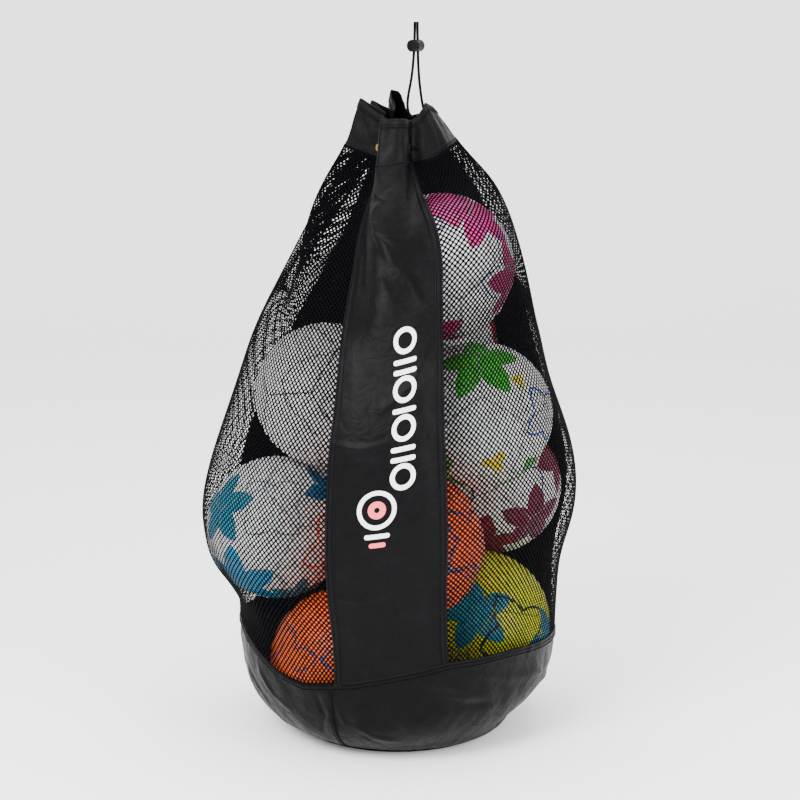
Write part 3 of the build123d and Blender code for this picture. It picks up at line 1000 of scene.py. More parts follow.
@dataclass
class WovenPanel:
    """A coated panel between two seams, with its folded hems and their twin rows of stitches."""

    form: BagForm
    panel: Panel
    node: str
    hems: tuple[str, str]
    cloth: bpy.types.Material
    hem_cloth: bpy.types.Material
    thread: bpy.types.Material
    slots: tuple[str, str]
    creases: tuple[Crease, ...] = ()
    hem_width: float = 11 * MM
    hem_proud: float = 1.5 * MM
    step: float = 3.6 * MM
    rumple: float = 1.5            # mm
    crease_gain: float = 1.35      # how much deeper than drawn each crease is pressed
    deepest: float = 0.8           # mm that the cloth may dip towards the balls

    def height(self, x: Array, y: Array) -> Array:
        """How far the cloth stands off the relaxed form at a place on the flat panel, in millimetres."""
        wide = self.panel.width * 1000
        edge = np.minimum(x, wide - x)
        calm = smoothstep(edge / 30)
        total = crumple(x, y, 95, 3, 1.6) * self.rumple * calm
        total += crumple(x, y, 38, 8) * self.rumple * 0.35 * calm
        total += crumple(x, y, 17, 5, 0.7) * 0.16
        for crease in self.creases:
            total += crease.lift(x, y) * self.crease_gain
        # the hem's stitches draw the edge into small puckers
        total += crumple(x * 0.15, y, 11, 11) * 0.28 * np.exp(-((edge - 11) / 6) ** 2)
        return np.maximum(total, -self.deepest)

    def at(self, x: Array, y: Array, lift: float = 0.0) -> Array:
        """A place on the finished panel.

        Args:
            x, y: millimetres across from its left seam and up from the band.
            lift: metres outward from the cloth.

        Returns:
            Points in metres.
        """
        x, y = np.broadcast_arrays(np.asarray(x, float), np.asarray(y, float))
        column = self.panel.first + x / (self.panel.width * 1000) * self.panel.columns
        row = y / (self.form.height(self.panel) * 1000) * self.form.rows
        out = self.form.normal(column, row)
        return self.form.point(column, row) + out * ((self.height(x, y) * MM) + lift)[..., None]

    def outward(self, x: Array, y: Array) -> Array:
        """The relaxed form's outward direction at a place on the panel."""
        x, y = np.broadcast_arrays(np.asarray(x, float), np.asarray(y, float))
        return self.form.normal(self.panel.first + x / (self.panel.width * 1000) * self.panel.columns,
                                y / (self.form.height(self.panel) * 1000) * self.form.rows)

    def build(self) -> bpy.types.Object:
        """Build the panel, its hems and stitches.

        Returns:
            The panel's cloth.
        """
        wide, tall = self.panel.width * 1000, self.form.height(self.panel) * 1000
        across, up = int(wide * MM / self.step) + 1, int(tall * MM / self.step) + 1
        x, y = np.meshgrid(np.linspace(0, wide, across), np.linspace(-6, tall, up))
        points = self.at(x, np.maximum(y, 0)).reshape(-1, 3)
        under = (y.ravel() < 0)
        points[under] += np.array([0, 0, 1]) * (y.ravel()[under] * MM)[:, None]
        cloth = mesh_piece(self.node + "_cloth", points, grid_faces(up, across))
        note_flat(cloth, np.stack([x.ravel(), y.ravel()], 1))
        cloth.modifiers.new("smooth", "SUBSURF").levels = 1
        cloth.modifiers["smooth"].render_levels = 1
        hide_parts(self.node)
        finish_piece(cloth, "bag", self.slots[0], self.cloth)
        rows = []
        hem = self.hem_width * 1000
        for name, edge, inward in ((self.hems[0], 0.0, 1), (self.hems[1], wide, -1)):
            shape = np.array([(-1.6, -0.4), (-1.2, 0.5), (0.4, 1.0), (2.4, 0.85), (5.5, 1.0), (8.8, 0.85),
                              (hem - 0.8, 0.9), (hem, 0.2)])
            ys = np.linspace(-4, tall + 2, int(tall / 3.0))
            px, py = np.meshgrid(edge + inward * shape[:, 0], ys)
            lift = np.broadcast_to(shape[:, 1] * self.hem_proud, px.shape)
            pucker = crumple(px * 0.2, py, 9, 21) * 0.16 * MM
            made = np.stack([self.at(px[:, k], np.clip(py[:, k], 0, tall))
                             + self.outward(px[:, k], np.clip(py[:, k], 0, tall))
                             * (lift + pucker)[:, k, None]
                             for k in range(len(shape))], 1)
            made[..., 2] += np.where(py < 0, py, 0) * MM
            faces = grid_faces(len(ys), len(shape))
            if inward < 0:
                faces = faces[:, ::-1]
            tape = mesh_piece(name + "_fold", made.reshape(-1, 3), faces)
            note_flat(tape, np.stack([px.ravel(), py.ravel()], 1))
            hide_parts(name)
            finish_piece(tape, "bag", self.slots[1], self.hem_cloth)
            line = np.arange(2, tall - 1, 1.7)
            for inset in (2.4, 8.8):
                spot = edge + inward * inset
                rows.append((self.at(spot, line, self.hem_proud * 0.85), self.outward(spot, line)))
        Sewing().sew(self.node + "_stitches", rows, self.slots[1], self.thread)
        return cloth


@dataclass
class Print:
    """Plain rings and bars in a column, and a plain ball sign, screen-printed up the front panel."""

    panel: WovenPanel
    white: bpy.types.Material
    coral: bpy.types.Material
    stroke: float = 7.0            # mm
    rise: float = 0.30 * MM

    def stroke_mesh(self, path: Array, width: float, closed: bool) -> tuple[Array, Array]:
        """Widen a line on the flat cloth into a round-ended stroke.

        Args:
            path: its points, in mm.
            width: its width, in mm.
            closed: whether it is a ring.

        Returns:
            Flat points and quads.
        """
        ahead = np.roll(path, -1, 0) - path
        behind = path - np.roll(path, 1, 0)
        if not closed:
            ahead[-1], behind[0] = behind[-1], ahead[0]
        along = unit(ahead + behind)
        side = np.stack([-along[:, 1], along[:, 0]], 1)
        half = np.full(len(path), width / 2)
        if not closed:
            run = distance_along(path)
            end = np.minimum(run, run[-1] - run)
            half = np.sqrt(np.clip(width * end - end ** 2, 0.0004, None))
            half = np.where(end > width / 2, width / 2, half)
        marks = np.linspace(-1, 1, 7)
        flat = path[:, None] + side[:, None] * (half[:, None] * marks)[..., None]
        return flat.reshape(-1, 2), grid_faces(len(path), 7, close_rows=closed)

    def bar(self, a: tuple[float, float], b: tuple[float, float], width: float) -> tuple[Array, Array]:
        """A straight round-ended stroke."""
        length = math.hypot(b[0] - a[0], b[1] - a[1])
        fine = np.concatenate([np.linspace(0, width / 2, 7)[:-1],
                               np.arange(width / 2, length - width / 2, 1.5),
                               length - np.linspace(width / 2, 0, 7)]) / length
        a2, b2 = np.array(a), np.array(b)
        return self.stroke_mesh(a2 + (b2 - a2) * fine[:, None], width, False)

    def ring(self, middle: tuple[float, float], radius: float, width: float) -> tuple[Array, Array]:
        """A round ring."""
        turn = np.linspace(0, 2 * math.pi, 49)[:-1]
        path = np.stack([np.cos(turn), np.sin(turn)], 1) * radius + np.array(middle)
        return self.stroke_mesh(path, width, True)

    def lay(self, name: str, shapes: Sequence[tuple[Array, Array]],
            ink: bpy.types.Material) -> bpy.types.Object:
        """Lay flat shapes onto the panel as one piece."""
        points, faces, start = [], [], 0
        for flat, quads in shapes:
            points.append(flat)
            faces.append(quads + start)
            start += len(flat)
        flat = np.concatenate(points)
        piece = mesh_piece(name, self.panel.at(flat[:, 0], flat[:, 1], self.rise), np.concatenate(faces))
        note_flat(piece, flat)
        return finish_piece(piece, "bag", "shiny_cloth", ink)

    def build(self) -> list[bpy.types.Object]:
        """Print the column and the sign.

        Returns:
            The printed pieces.
        """
        s, x0, x1 = self.stroke, 90.0, 128.0
        y, white = 290.0, []
        for kind in ("ring", "bar", "bar", "ring", "bar", "ring", "bar", "bar", "ring"):
            if kind == "ring":
                white.append(self.ring(((x0 + x1) / 2, y + 15), 15.5, s))
                y += 40
            else:
                white.append(self.bar((x0, y), (x1, y), s))
                y += 14.5
        white.append(self.ring((72.0, 262.0), 25.0, s * 0.9))
        white.append(self.bar((54, 224), (90, 224), s))
        coral = [self.ring((72.0, 262.0), 8.5, 9.0), self.bar((60, 211), (84, 211), s)]
        return [self.lay("print_white", white, self.white), self.lay("print_coral", coral, self.coral)]


# ---------------------------------------------------------------- the net


@dataclass
class NetPanel:
    """A knitted net panel: diamond cells with flat, ridged threads and thicker crossings."""

    form: BagForm
    panel: Panel
    node: str
    yarn: bpy.types.Material
    cell: tuple[float, float] = (7.8 * MM, 8.8 * MM)
    thread: float = 2.3 * MM
    ridge: float = 0.55 * MM
    knot: float = 0.75 * MM

    def build(self) -> bpy.types.Object:
        """Build the net.

        Returns:
            The piece.
        """
        tall = self.form.height(self.panel)
        wide_cells = 2 * round(self.panel.width / self.cell[0])
        tall_cells = 2 * round(tall / self.cell[1])
        number = np.full((wide_cells + 3, tall_cells + 3), -1)
        i, j = np.meshgrid(np.arange(-1, wide_cells + 2), np.arange(-1, tall_cells + 2), indexing="ij")
        even = ((i + j) % 2 == 0)
        number[even] = np.arange(even.sum())
        i, j = i[even], j[even]
        across = self.panel.first + i / wide_cells * self.panel.columns
        up = j / tall_cells * self.form.rows
        middles = self.form.point(across, np.clip(up, 0, self.form.rows))
        out = self.form.normal(across, np.clip(up, 0, self.form.rows))
        middles[:, 2] += np.where(up < 0, up, 0) * 0.007
        kept = (i >= 0) & (i <= wide_cells) & (j >= 0) & (j <= tall_cells)
        ways = ((1, 1), (-1, 1), (-1, -1), (1, -1))
        others = np.stack([number[np.clip(i + a + 1, 0, wide_cells + 2),
                                  np.clip(j + b + 1, 0, tall_cells + 2)]
                           for a, b in ways], 1)
        toward = np.stack([np.where((others[:, k] >= 0)[:, None], middles[others[:, k]] - middles, 0)
                           for k in range(4)], 1)
        toward = unit(toward - (toward * out[:, None]).sum(-1, keepdims=True) * out[:, None])
        half = self.thread / 2
        following = np.roll(toward, -1, 1)
        between = unit(toward + following)
        spread = np.sqrt(np.clip((1 - (toward * following).sum(-1)) / 2, 0.02, 1))
        far = np.clip(half / spread, half * 1.0, half * 1.9)
        wobble = np.random.default_rng(4).uniform(0.9, 1.1, (len(i), 1))
        corners = middles[:, None] + between * (far * 1.08 * wobble)[..., None]
        mids = middles[:, None] + toward * (half * 1.1) + out[:, None] * self.ridge
        tops = middles + out * self.knot
        index = np.cumsum(kept) - 1
        block = np.concatenate([tops[:, None], np.stack([mids, corners], 2).reshape(len(i), 8, 3)], 1)[kept]
        flat = np.stack([across * 7.3, up * 7.2], 1)[kept]
        base = index * 9
        fans = []
        for k in range(8):
            fans.append(np.stack([base[kept], base[kept] + 1 + k, base[kept] + 1 + (k + 1) % 8], 1))
        quads = []
        for k, (a, b) in enumerate(ways[:2]):
            there = others[:, k]
            joined = kept & (there >= 0)
            joined[joined] &= kept[there[joined]]
            here, other = base[joined], base[there[joined]]
            back = (k + 2) % 4
            near_mid, near_left, near_right = (here + 1 + 2 * k, here + 2 + 2 * k,
                                               here + 2 + 2 * ((k + 3) % 4))
            far_mid, far_left, far_right = (other + 1 + 2 * back, other + 2 + 2 * back,
                                            other + 2 + 2 * ((back + 3) % 4))
            quads.append(np.stack([near_right, far_left, far_mid, near_mid], 1))
            quads.append(np.stack([near_mid, far_mid, far_right, near_left], 1))
        faces = np.concatenate(fans).tolist() + np.concatenate(quads).tolist()
        net = mesh_piece(self.node + "_net", block.reshape(-1, 3), faces)
        note_flat(net, np.repeat(flat, 9, axis=0) + (block - block[:, :1]).reshape(-1, 3)[:, [2, 0]] * 1000)
        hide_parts(self.node)
        finish_piece(net, "bag", "net", self.yarn)
        return net


# ---------------------------------------------------------------- the base


@dataclass
class Base:
    """The round base, its cloth band, and the tapes over the band's seams."""

    form: BagForm
    cloth: bpy.types.Material
    hem_cloth: bpy.types.Material
    tape: bpy.types.Material
    thread: bpy.types.Material
    around: int = 420
    rows: int = 44
    hem: float = 11.0              # mm
    seam_at: float = -113.0        # degrees, the band's upright seam
    creases: tuple[Crease, ...] = (      # degrees round and mm up, on the band
        Crease(((-118, 126), (-116, 88), (-119, 58)), 4.5, -3.0),
        Crease(((-111, 118), (-108, 74), (-112, 48)), 4.0, 2.6),
        Crease(((-104, 70), (-98, 46), (-88, 36)), 5.0, 2.8),
        Crease(((-102, 54), (-95, 30)), 4.0, -2.2),
        Crease(((-84, 128), (-74, 106), (-58, 92)), 6.0, 3.4),
        Crease(((-80, 112), (-66, 86), (-52, 80)), 5.0, -2.6),
        Crease(((-64, 132), (-48, 112), (-30, 104)), 6.0, 2.6),
        Crease(((-150, 120), (-142, 92), (-134, 84)), 6.0, 3.0),
        Crease(((-160, 96), (-150, 66)), 6.0, -2.4),
        Crease(((-30, 112), (-14, 84), (4, 76)), 6.0, 2.6),
        Crease(((30, 110), (46, 78), (60, 82)), 7.0, 3.2),
        Crease(((84, 104), (96, 70), (92, 40)), 6.0, -3.0),
        Crease(((128, 120), (140, 84), (156, 76)), 7.0, 3.2))

    def ring(self, degrees: Array, share: Array, lift: Array | float = 0.0) -> Array:
        """A place on the band.

        Args:
            degrees: direction from the bag's axis.
            share: 0 at the base, 1 at the net.
            lift: mm outward.

        Returns:
            Points in metres.
        """
        degrees, share = np.broadcast_arrays(np.asarray(degrees, float), np.asarray(share, float))
        wrapped = (degrees + 180) % 360 - 180
        top = np.interp(wrapped, *np.array(self.form.band_top).T)
        z = 1.2 + (top - 1.2) * share
        a, h = wrapped % 360, (z - self.low) / (self.high - self.low) * (len(self.table) - 1)
        h = np.clip(h, 0, len(self.table) - 1.001)
        a0, h0 = np.floor(a).astype(int), np.floor(h).astype(int)
        ta, th = a - a0, h - h0
        reach = sum(self.table[h0 + p, (a0 + q) % 360] * (th if p else 1 - th) * (ta if q else 1 - ta)
                    for p in (0, 1) for q in (0, 1))
        reach = reach + lift
        turn = np.radians(degrees)
        return np.stack([self.form.axis[0] + np.cos(turn) * reach, self.form.axis[1] + np.sin(turn) * reach,
                         z], -1) * MM

    def lift(self, degrees: Array, share: Array) -> Array:
        """How far the band's cloth stands off its form, in millimetres."""
        degrees = (degrees + 180) % 360 - 180
        x, y = degrees * 4.6, share * 150
        calm = smoothstep((1 - share) * 5) * smoothstep(share * 6)
        total = (crumple(x, y, 150, 31, 1.0) * 2.6 + crumple(x, y, 60, 33, 1.5) * 1.3) * calm
        total += crumple(x, y, 24, 37, 1.2) * 0.45
        total += crumple(x, y * 0.3, 13, 39) * 0.5 * np.exp(-((share - 0.93) / 0.05) ** 2)
        for crease in self.creases:
            scaled = Crease(tuple((d * 4.6, z) for d, z in crease.line), crease.width, crease.height)
            total += scaled.lift(x, y) * calm
        return total - 0.8

    def build(self) -> None:
        """Build the base and band."""
        self.low, self.high = 1.0, 186.0
        _, self.table = self.form.measure(self.low, self.high, (
            "base_band", "base_panel", "mesh_left", "mesh_right", "front_panel", "back_panel"))
        degrees = np.linspace(-180, 180, self.around + 1)[:-1]
        shares = np.linspace(0, 1, self.rows) ** 1.25
        d, s = np.meshgrid(degrees, shares)
        points = self.ring(d, s, self.lift(d, s)).reshape(-1, 3)
        band = mesh_piece("base_band_cloth", points, grid_faces(self.rows, self.around, close_columns=True))
        note_flat(band, np.stack([d.ravel() * 4.7, s.ravel() * 170], 1))
        band.modifiers.new("smooth", "SUBSURF").levels = 1
        band.modifiers["smooth"].render_levels = 1
        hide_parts("base_band")
        finish_piece(band, "bag", "coated_cloth", self.cloth)

        shape = np.array([(-1.6, -0.4), (-1.0, 0.7), (1.0, 1.1), (3.0, 0.95), (6.0, 1.1), (8.6, 0.95),
                          (self.hem - 0.8, 1.0), (self.hem, 0.1)])
        top = np.interp((degrees + 180) % 360 - 180, *np.array(self.form.band_top).T)
        share = 1 - shape[:, 0][:, None] / top
        ring_d = np.broadcast_to(degrees, share.shape)
        fold_points = self.ring(ring_d, share, self.lift(ring_d, np.minimum(share, 1)) + 0.8
                                + shape[:, 1][:, None])
        fold = mesh_piece("band_hem_fold", fold_points.reshape(-1, 3),
                          grid_faces(len(shape), self.around, close_columns=True)[:, ::-1])
        note_flat(fold, np.stack([ring_d.ravel() * 4.7, (share * 170).ravel()], 1))
        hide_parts("band_hem")
        finish_piece(fold, "bag", "coated_cloth_hem", self.hem_cloth)

        rows = []
        fine = np.linspace(-180, 180, 1100)
        top = np.interp(fine, *np.array(self.form.band_top).T)
        for inset in (3.0, 8.6):
            line_share = 1 - inset / top
            line = self.ring(fine, line_share, self.lift(fine, line_share) + 2.0)
            rows.append((line,
                         unit(line * np.array([1, 1, 0.3])
                              - np.array([self.form.axis[0] * MM, self.form.axis[1] * MM, 0.02]))))
        up = np.linspace(0.03, 0.90, 60)
        seam = self.seam_at + (up - 0.5) * 0.8
        cross = np.array([-4.4, -4.0, -1.6, 0, 1.6, 4.0, 4.4]) / 4.6
        proud = np.array([-0.2, 0.9, 1.2, 0.9, 1.2, 0.9, -0.2])
        sd, su = seam[:, None] + cross[None], np.broadcast_to(up[:, None], (60, 7))
        strip_points = self.ring(sd, su, self.lift(sd, su) + 0.8 + proud[None])
        strip = mesh_piece("band_seam_fold", strip_points.reshape(-1, 3), grid_faces(60, 7))
        note_flat(strip, np.stack([sd.ravel() * 4.7, su.ravel() * 170], 1))
        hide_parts("band_seam")
        finish_piece(strip, "bag", "coated_cloth_hem", self.hem_cloth)
        fine_up = np.linspace(0.04, 0.89, 400)
        for side in (-2.6, 2.6):
            at = self.seam_at + (fine_up - 0.5) * 0.8 + side / 4.6
            line = self.ring(at, fine_up, self.lift(at, fine_up) + 2.0)
            rows.append((line,
                         unit(line - np.array([self.form.axis[0] * MM, self.form.axis[1] * MM, 0.1]))))
        stitches = Sewing().sew("base_band_stitches", rows, "coated_cloth_hem", self.thread)

        self.build_bottom()

    def build_bottom(self) -> None:
        """Build the round base cloth and the tape that binds its edge."""
        low, high = (Vector(v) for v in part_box("base_panel"))
        middle, half = (low + high) / 2, (high - low) / 2
        turn = np.linspace(0, 2 * math.pi, 121)[:-1]
        rings = np.linspace(0.02, 1, 26)
        r, t = np.meshgrid(rings, turn, indexing="ij")
        x, y = middle.x + half.x * r * np.cos(t), middle.y + half.y * r * np.sin(t)
        z = 0.4 * MM + (crumple(x * 1000, y * 1000, 90, 41) * 0.35
                        + 0.35) * MM * (1 - r ** 4) + 1.0 * MM * r ** 8
        points = np.stack([x, y, z], -1).reshape(-1, 3)
        points = np.concatenate([points, [[middle.x, middle.y, 0.6 * MM]]])
        faces = grid_faces(len(rings), len(turn), close_columns=True)[:, ::-1].tolist()
        faces += [[len(points) - 1, (k + 1) % len(turn), k] for k in range(len(turn))]
        bottom = mesh_piece("base_panel_cloth", points, faces)
        note_flat(bottom, points[:, :2] * 1000)
        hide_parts("base_panel")
        finish_piece(bottom, "bag", "coated_cloth", self.cloth)
        inner, outer = 0.94, 1.01
        profile = ((inner, 2.2), (inner + 0.01, 3.1), (outer - 0.02, 3.1), (outer - 0.005, 2.4),
                   (outer, 1.2))
        ring = np.array([[(middle.x + half.x * s * math.cos(a), middle.y + half.y * s * math.sin(a), z * MM)
                          for a in turn] for s, z in profile])
        binding = mesh_piece("base_binding_tape", ring.reshape(-1, 3),
                             grid_faces(len(profile), len(turn), close_columns=True))
        note_flat(binding,
                  np.stack([np.tile(turn * 165, len(profile)),
                            np.repeat([s * 160 for s, _ in profile], len(turn))], 1))
        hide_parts("base_binding")
        finish_piece(binding, "bag", "binding_tape", self.tape)


# ---------------------------------------------------------------- the collar and its cord


@dataclass
class Collar:
    """The gathered collar: one doubled band of coated cloth, pleated, hemmed at both edges."""

    form: BagForm
    cloth: bpy.types.Material
    hem_cloth: bpy.types.Material
    thread: bpy.types.Material
    steps: int = 3
    thickness: float = 1.6         # mm, the doubled cloth
    overlap: float = 7.0           # mm of the collar below its seam
    hem: float = 14.0              # mm, the top hem
    ripple: float = 1.1            # mm

    def line(self, t: Array | float, out: Array | float) -> Array:
        """One level of the collar.

        Args:
            t: 0 at the seam and 1 at the top edge.
            out: mm outward from the cloth's outer face.

        Returns:
            A ring of points in mm.
        """
        z = self.lower + (self.upper - self.lower) * t
        points = self.form.mouth_point(self.foot, z)
        ahead = np.roll(points, -2, 0) - np.roll(points, 2, 0)
        side = unit(np.stack([ahead[:, 1], -ahead[:, 0], np.zeros(len(ahead))], 1))
        wave = self.wave * (0.25 + 0.75 * np.abs(np.asarray(t) - 0.25) ** 0.5)
        return points + side * (out + wave)[:, None]

    def bulge(self, run: Array, t: float) -> Array:
        """How far the cloth swells between its two seams, in mm, along the collar at level t."""
        swell = crumple(run, np.full(len(run), t * 70.0), 34, 53, 1.4)
        return swell * 0.9 * math.sin(math.pi * min(max(t, 0), 1))

    def build(self) -> list[bpy.types.Object]:
        """Build the collar, its hems and its stitches.

        Returns:
            The pieces.
        """
        self.foot, self.lower, self.upper = self.form.mouth_columns(self.steps)
        self.lower = self.lower - self.overlap * 0.4
        count = len(self.foot)
        run = np.cumsum(np.linalg.norm(np.diff(self.foot[:, :2], axis=0, append=self.foot[:1, :2]), axis=1))
        self.wave = crumple(run, run * 0.1, 30, 51) * self.ripple
        levels = np.linspace(0, 1, 26)
        rows = [(t, 0.0) for t in levels]
        rows += [(1 + 0.014 * math.sin(a), -self.thickness / 2 * (1 - math.cos(a)))
                 for a in (0.8, 1.57, 2.3)]
        rows += [(t, -self.thickness) for t in levels[::-1]]
        zero = np.zeros(count)
        body = []
        for t, out in rows:
            bulge = self.bulge(run, t)
            body.append(self.line(t, zero + out + bulge))
        points = np.concatenate(body) * MM
        faces = grid_faces(len(rows), count, close_rows=True, close_columns=True)
        collar = mesh_piece("collar_cloth", points, faces)
        note_flat(collar,
                  np.stack([np.tile(run, len(rows)), np.repeat([t * 72 - o * 40 for t, o in rows], count)],
                           1))
        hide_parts("collar")
        finish_piece(collar, "bag", "collar_cloth", self.cloth)

        def strip(name: str, node: str, low: float, high: float, slot: str) -> bpy.types.Object:
            """Fold a hem between two levels over the outside."""
            tall = 72.0
            shape = [(low, -0.3), (low + 0.6 / tall, 0.8), (low + 3 / tall, 0.7), ((low + high) / 2, 0.9),
                     (high - 3 / tall, 0.7), (high - 0.6 / tall, 0.8), (high, -0.3)]
            made = []
            for t, out in shape:
                bulge = self.bulge(run, t)
                made.append(self.line(t, zero + out + bulge))
            fold = mesh_piece(name, np.concatenate(made) * MM,
                              grid_faces(len(shape), count, close_columns=True))
            note_flat(fold,
                      np.stack([np.tile(run, len(shape)), np.repeat([t * 72 for t, _ in shape], count)], 1))
            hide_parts(node)
            return finish_piece(fold, "bag", slot, self.hem_cloth)

        top = strip("collar_hem_fold", "collar_hem", 1 - self.hem / 72, 1.004, "collar_cloth_hem")
        foot = strip("neck_hem_fold", "neck_hem", -0.03, 0.115, "shiny_cloth_hem")
        lines = []
        for t in (1 - (self.hem - 2.4) / 72, 1 - (self.hem - 6.0) / 72, 0.02, 0.085):
            bulge = self.bulge(run, t)
            line = self.line(t, zero + 0.9 + bulge)
            further = self.line(t, zero + 1.9 + bulge)
            lines.append((line * MM, unit(further - line)))
        stitches = Sewing().sew("collar_stitches", lines, "collar_cloth_hem", self.thread)
        return [collar, top, foot, stitches]


@dataclass
class Drawcord:
    """The 4.2 mm braided cord: one ring through the eyelets, and its two ends through the lock."""

    braid: bpy.types.Material
    cut: bpy.types.Material
    diameter: float = 4.2 * MM
    strands: int = 8               # crossings of the braid round the cord
    lay: float = 9.0 * MM          # length of one full turn of a strand
    ring_z: float = 905.0          # mm, the height of the eyelets
    ring: tuple[tuple[float, float], ...] = (
        (59.6, 14.2), (55.8, 21.7), (42.5, 32.5), (26.0, 36.9), (9.2, 34.1), (-5.1, 24.7), (-14.3, 10.4),
        (-16.8, -6.5), (-12.2, -23.0), (-1.3, -36.1), (14.0, -43.7), (31.0, -44.3), (46.9, -37.9),
        (52.8, -31.8))
    right: tuple[tuple[float, float, float], ...] = (
        (59.6, 14.2, 905), (65.1, 3.5, 905), (68.9, -4.0, 913.5), (66, -3, 930), (58, 3, 948), (51, 5, 968),
        (44.1, 0, 1028), (44.1, 0, 1090))
    left: tuple[tuple[float, float, float], ...] = (
        (52.8, -31.8, 905), (61.1, -23.2, 905), (67.0, -17.1, 913.5), (62, -14, 930), (45, -12, 944),
        (25, -9, 958), (39.9, 0, 1028), (39.9, 0, 1090))

    def follow(self, name: str, route: Sequence[tuple[float, float, float]]) -> Array:
        """Draw the smooth line of a route.

        Args:
            name: the line's name.
            route: its control points, in mm.

        Returns:
            Close points along it, in metres.
        """
        curve = bpy.data.curves.new(name, "CURVE")
        curve.dimensions = "3D"
        curve.resolution_u = 24
        spline = curve.splines.new("NURBS")
        spline.points.add(len(route) - 1)
        for point, place in zip(spline.points, route):
            point.co = (place[0] * MM, place[1] * MM, place[2] * MM, 1)
        spline.order_u = 3
        spline.use_endpoint_u = True
        holder = bpy.data.objects.new(name, curve)
        bpy.context.scene.collection.objects.link(holder)
        bpy.context.view_layer.update()
        line = bpy.data.meshes.new_from_object(holder)
        points = np.array([v.co[:] for v in line.vertices])
        bpy.data.objects.remove(holder)
        bpy.data.meshes.remove(line)
        return points

    def tube(self, name: str, line: Array, open_ends: bool = False) -> bpy.types.Object:
        """Braid a cord along a line.

        Args:
            name: the piece's name.
            line: its centreline, in metres.
            open_ends: whether its ends are left open.

        Returns:
            The piece.
        """
        run = distance_along(line)
        at = np.linspace(0, run[-1], int(run[-1] / (0.45 * MM)))
        middles = read_line(at, run, line)
        for _ in range(12):
            middles[1:-1] = (middles[:-2] + 2 * middles[1:-1] + middles[2:]) / 4
        along = unit(np.gradient(middles, axis=0))
        side = [unit(np.cross(along[0], np.array([0.31, 0.83, 0.46])))]
        for direction in along[1:]:
            side.append(unit(side[-1] - (side[-1] @ direction) * direction))
        side = np.array(side)
        up = np.cross(along, side)
        sides = 24
        turn = np.arange(sides) * 2 * math.pi / sides
        half = self.strands / 2
        one = np.cos(half * turn[None] + 2 * math.pi * half * at[:, None] / self.lay)
        two = np.cos(half * turn[None] - 2 * math.pi * half * at[:, None] / self.lay)
        relief = np.abs(np.maximum(one, two)) ** 0.6
        reach = self.diameter / 2 * (0.90 + 0.12 * relief)
        rim = middles[:, None] + side[:, None] * (np.cos(turn)[None] * reach)[..., None] \
            + up[:, None] * (np.sin(turn)[None] * reach)[..., None]
        points = rim.reshape(-1, 3)
        faces = grid_faces(len(at), sides, close_columns=True).tolist()
        if not open_ends:
            points = np.concatenate([points, middles[:1] - along[:1] * 0.4 * MM, middles[-1:]
                                     + along[-1:] * 0.5 * MM])
            first, last = len(points) - 2, len(points) - 1
            faces += [[first, (k + 1) % sides, k] for k in range(sides)]
            ring = (len(at) - 1) * sides
            faces += [[last, ring + k, ring + (k + 1) % sides] for k in range(sides)]
        cord = mesh_piece(name, points, faces)
        flat = np.stack(np.broadcast_arrays(at[:, None] * 1000, turn[None] * 2.1), -1).reshape(-1, 2)
        note_flat(cord, np.concatenate([flat, np.zeros((len(points) - len(flat), 2))]))
        return cord

    def build(self) -> None:
        """Build the ring and both ends."""
        line = self.follow("ring_line", [(x, y, self.ring_z) for x, y in self.ring])
        inner = self.tube("drawcord_ring_braid", line)
        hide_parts("drawcord_ring")
        finish_piece(inner, "bag", "cord", self.braid)
        length = float(np.linalg.norm(np.diff(line, axis=0), axis=1).sum())
        for name, route, length in (("drawcord_right", self.right, 0.2034),
                                    ("drawcord_left", self.left, 0.2177)):
            line = self.follow(name + "_line", route)
            strand = self.tube(name + "_braid", line)
            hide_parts(name)
            finish_piece(strand, "bag", "cord", self.braid, self.cut)
            for polygon in list(strand.data.polygons)[-24:]:
                polygon.material_index = 1
            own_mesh(strand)


@dataclass(frozen=True)
class Hardware:
    """The moulded lock, its steel spring, and the brass eyelets, all kept from the frame."""

    barrel: bpy.types.Material
    button: bpy.types.Material
    steel: bpy.types.Material
    brass: bpy.types.Material
    edge: float = 0.35 * MM
    spring_seat: tuple[float, float, float] = (0.04728, 0.00754, 1.055)     # the barrel's closed end

    def build(self) -> None:
        """Dress the frame's own parts, and round the lock's edges."""
        for name, material in (("cord_lock_barrel", self.barrel), ("cord_lock_plunger", self.button),
                               ("cord_lock_spring", self.steel), ("eyelets", self.brass),
                               ("eyelet_washers", self.brass)):
            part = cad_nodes()[name]
            for slot in part.material_slots:
                slot.material = material
            if not part.material_slots:
                part.data.materials.append(material)
            if "lock_b" in name or "plunger" in name:
                rounded = part.modifiers.new("rounded_edges", "BEVEL")
                rounded.width, rounded.segments, rounded.limit_method = self.edge, 3, "ANGLE"
                rounded.angle_limit = math.radians(40)
            LOG.info("%s: kept, %s", name, material.name)
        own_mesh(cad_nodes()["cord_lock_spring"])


# ---------------------------------------------------------------- the balls


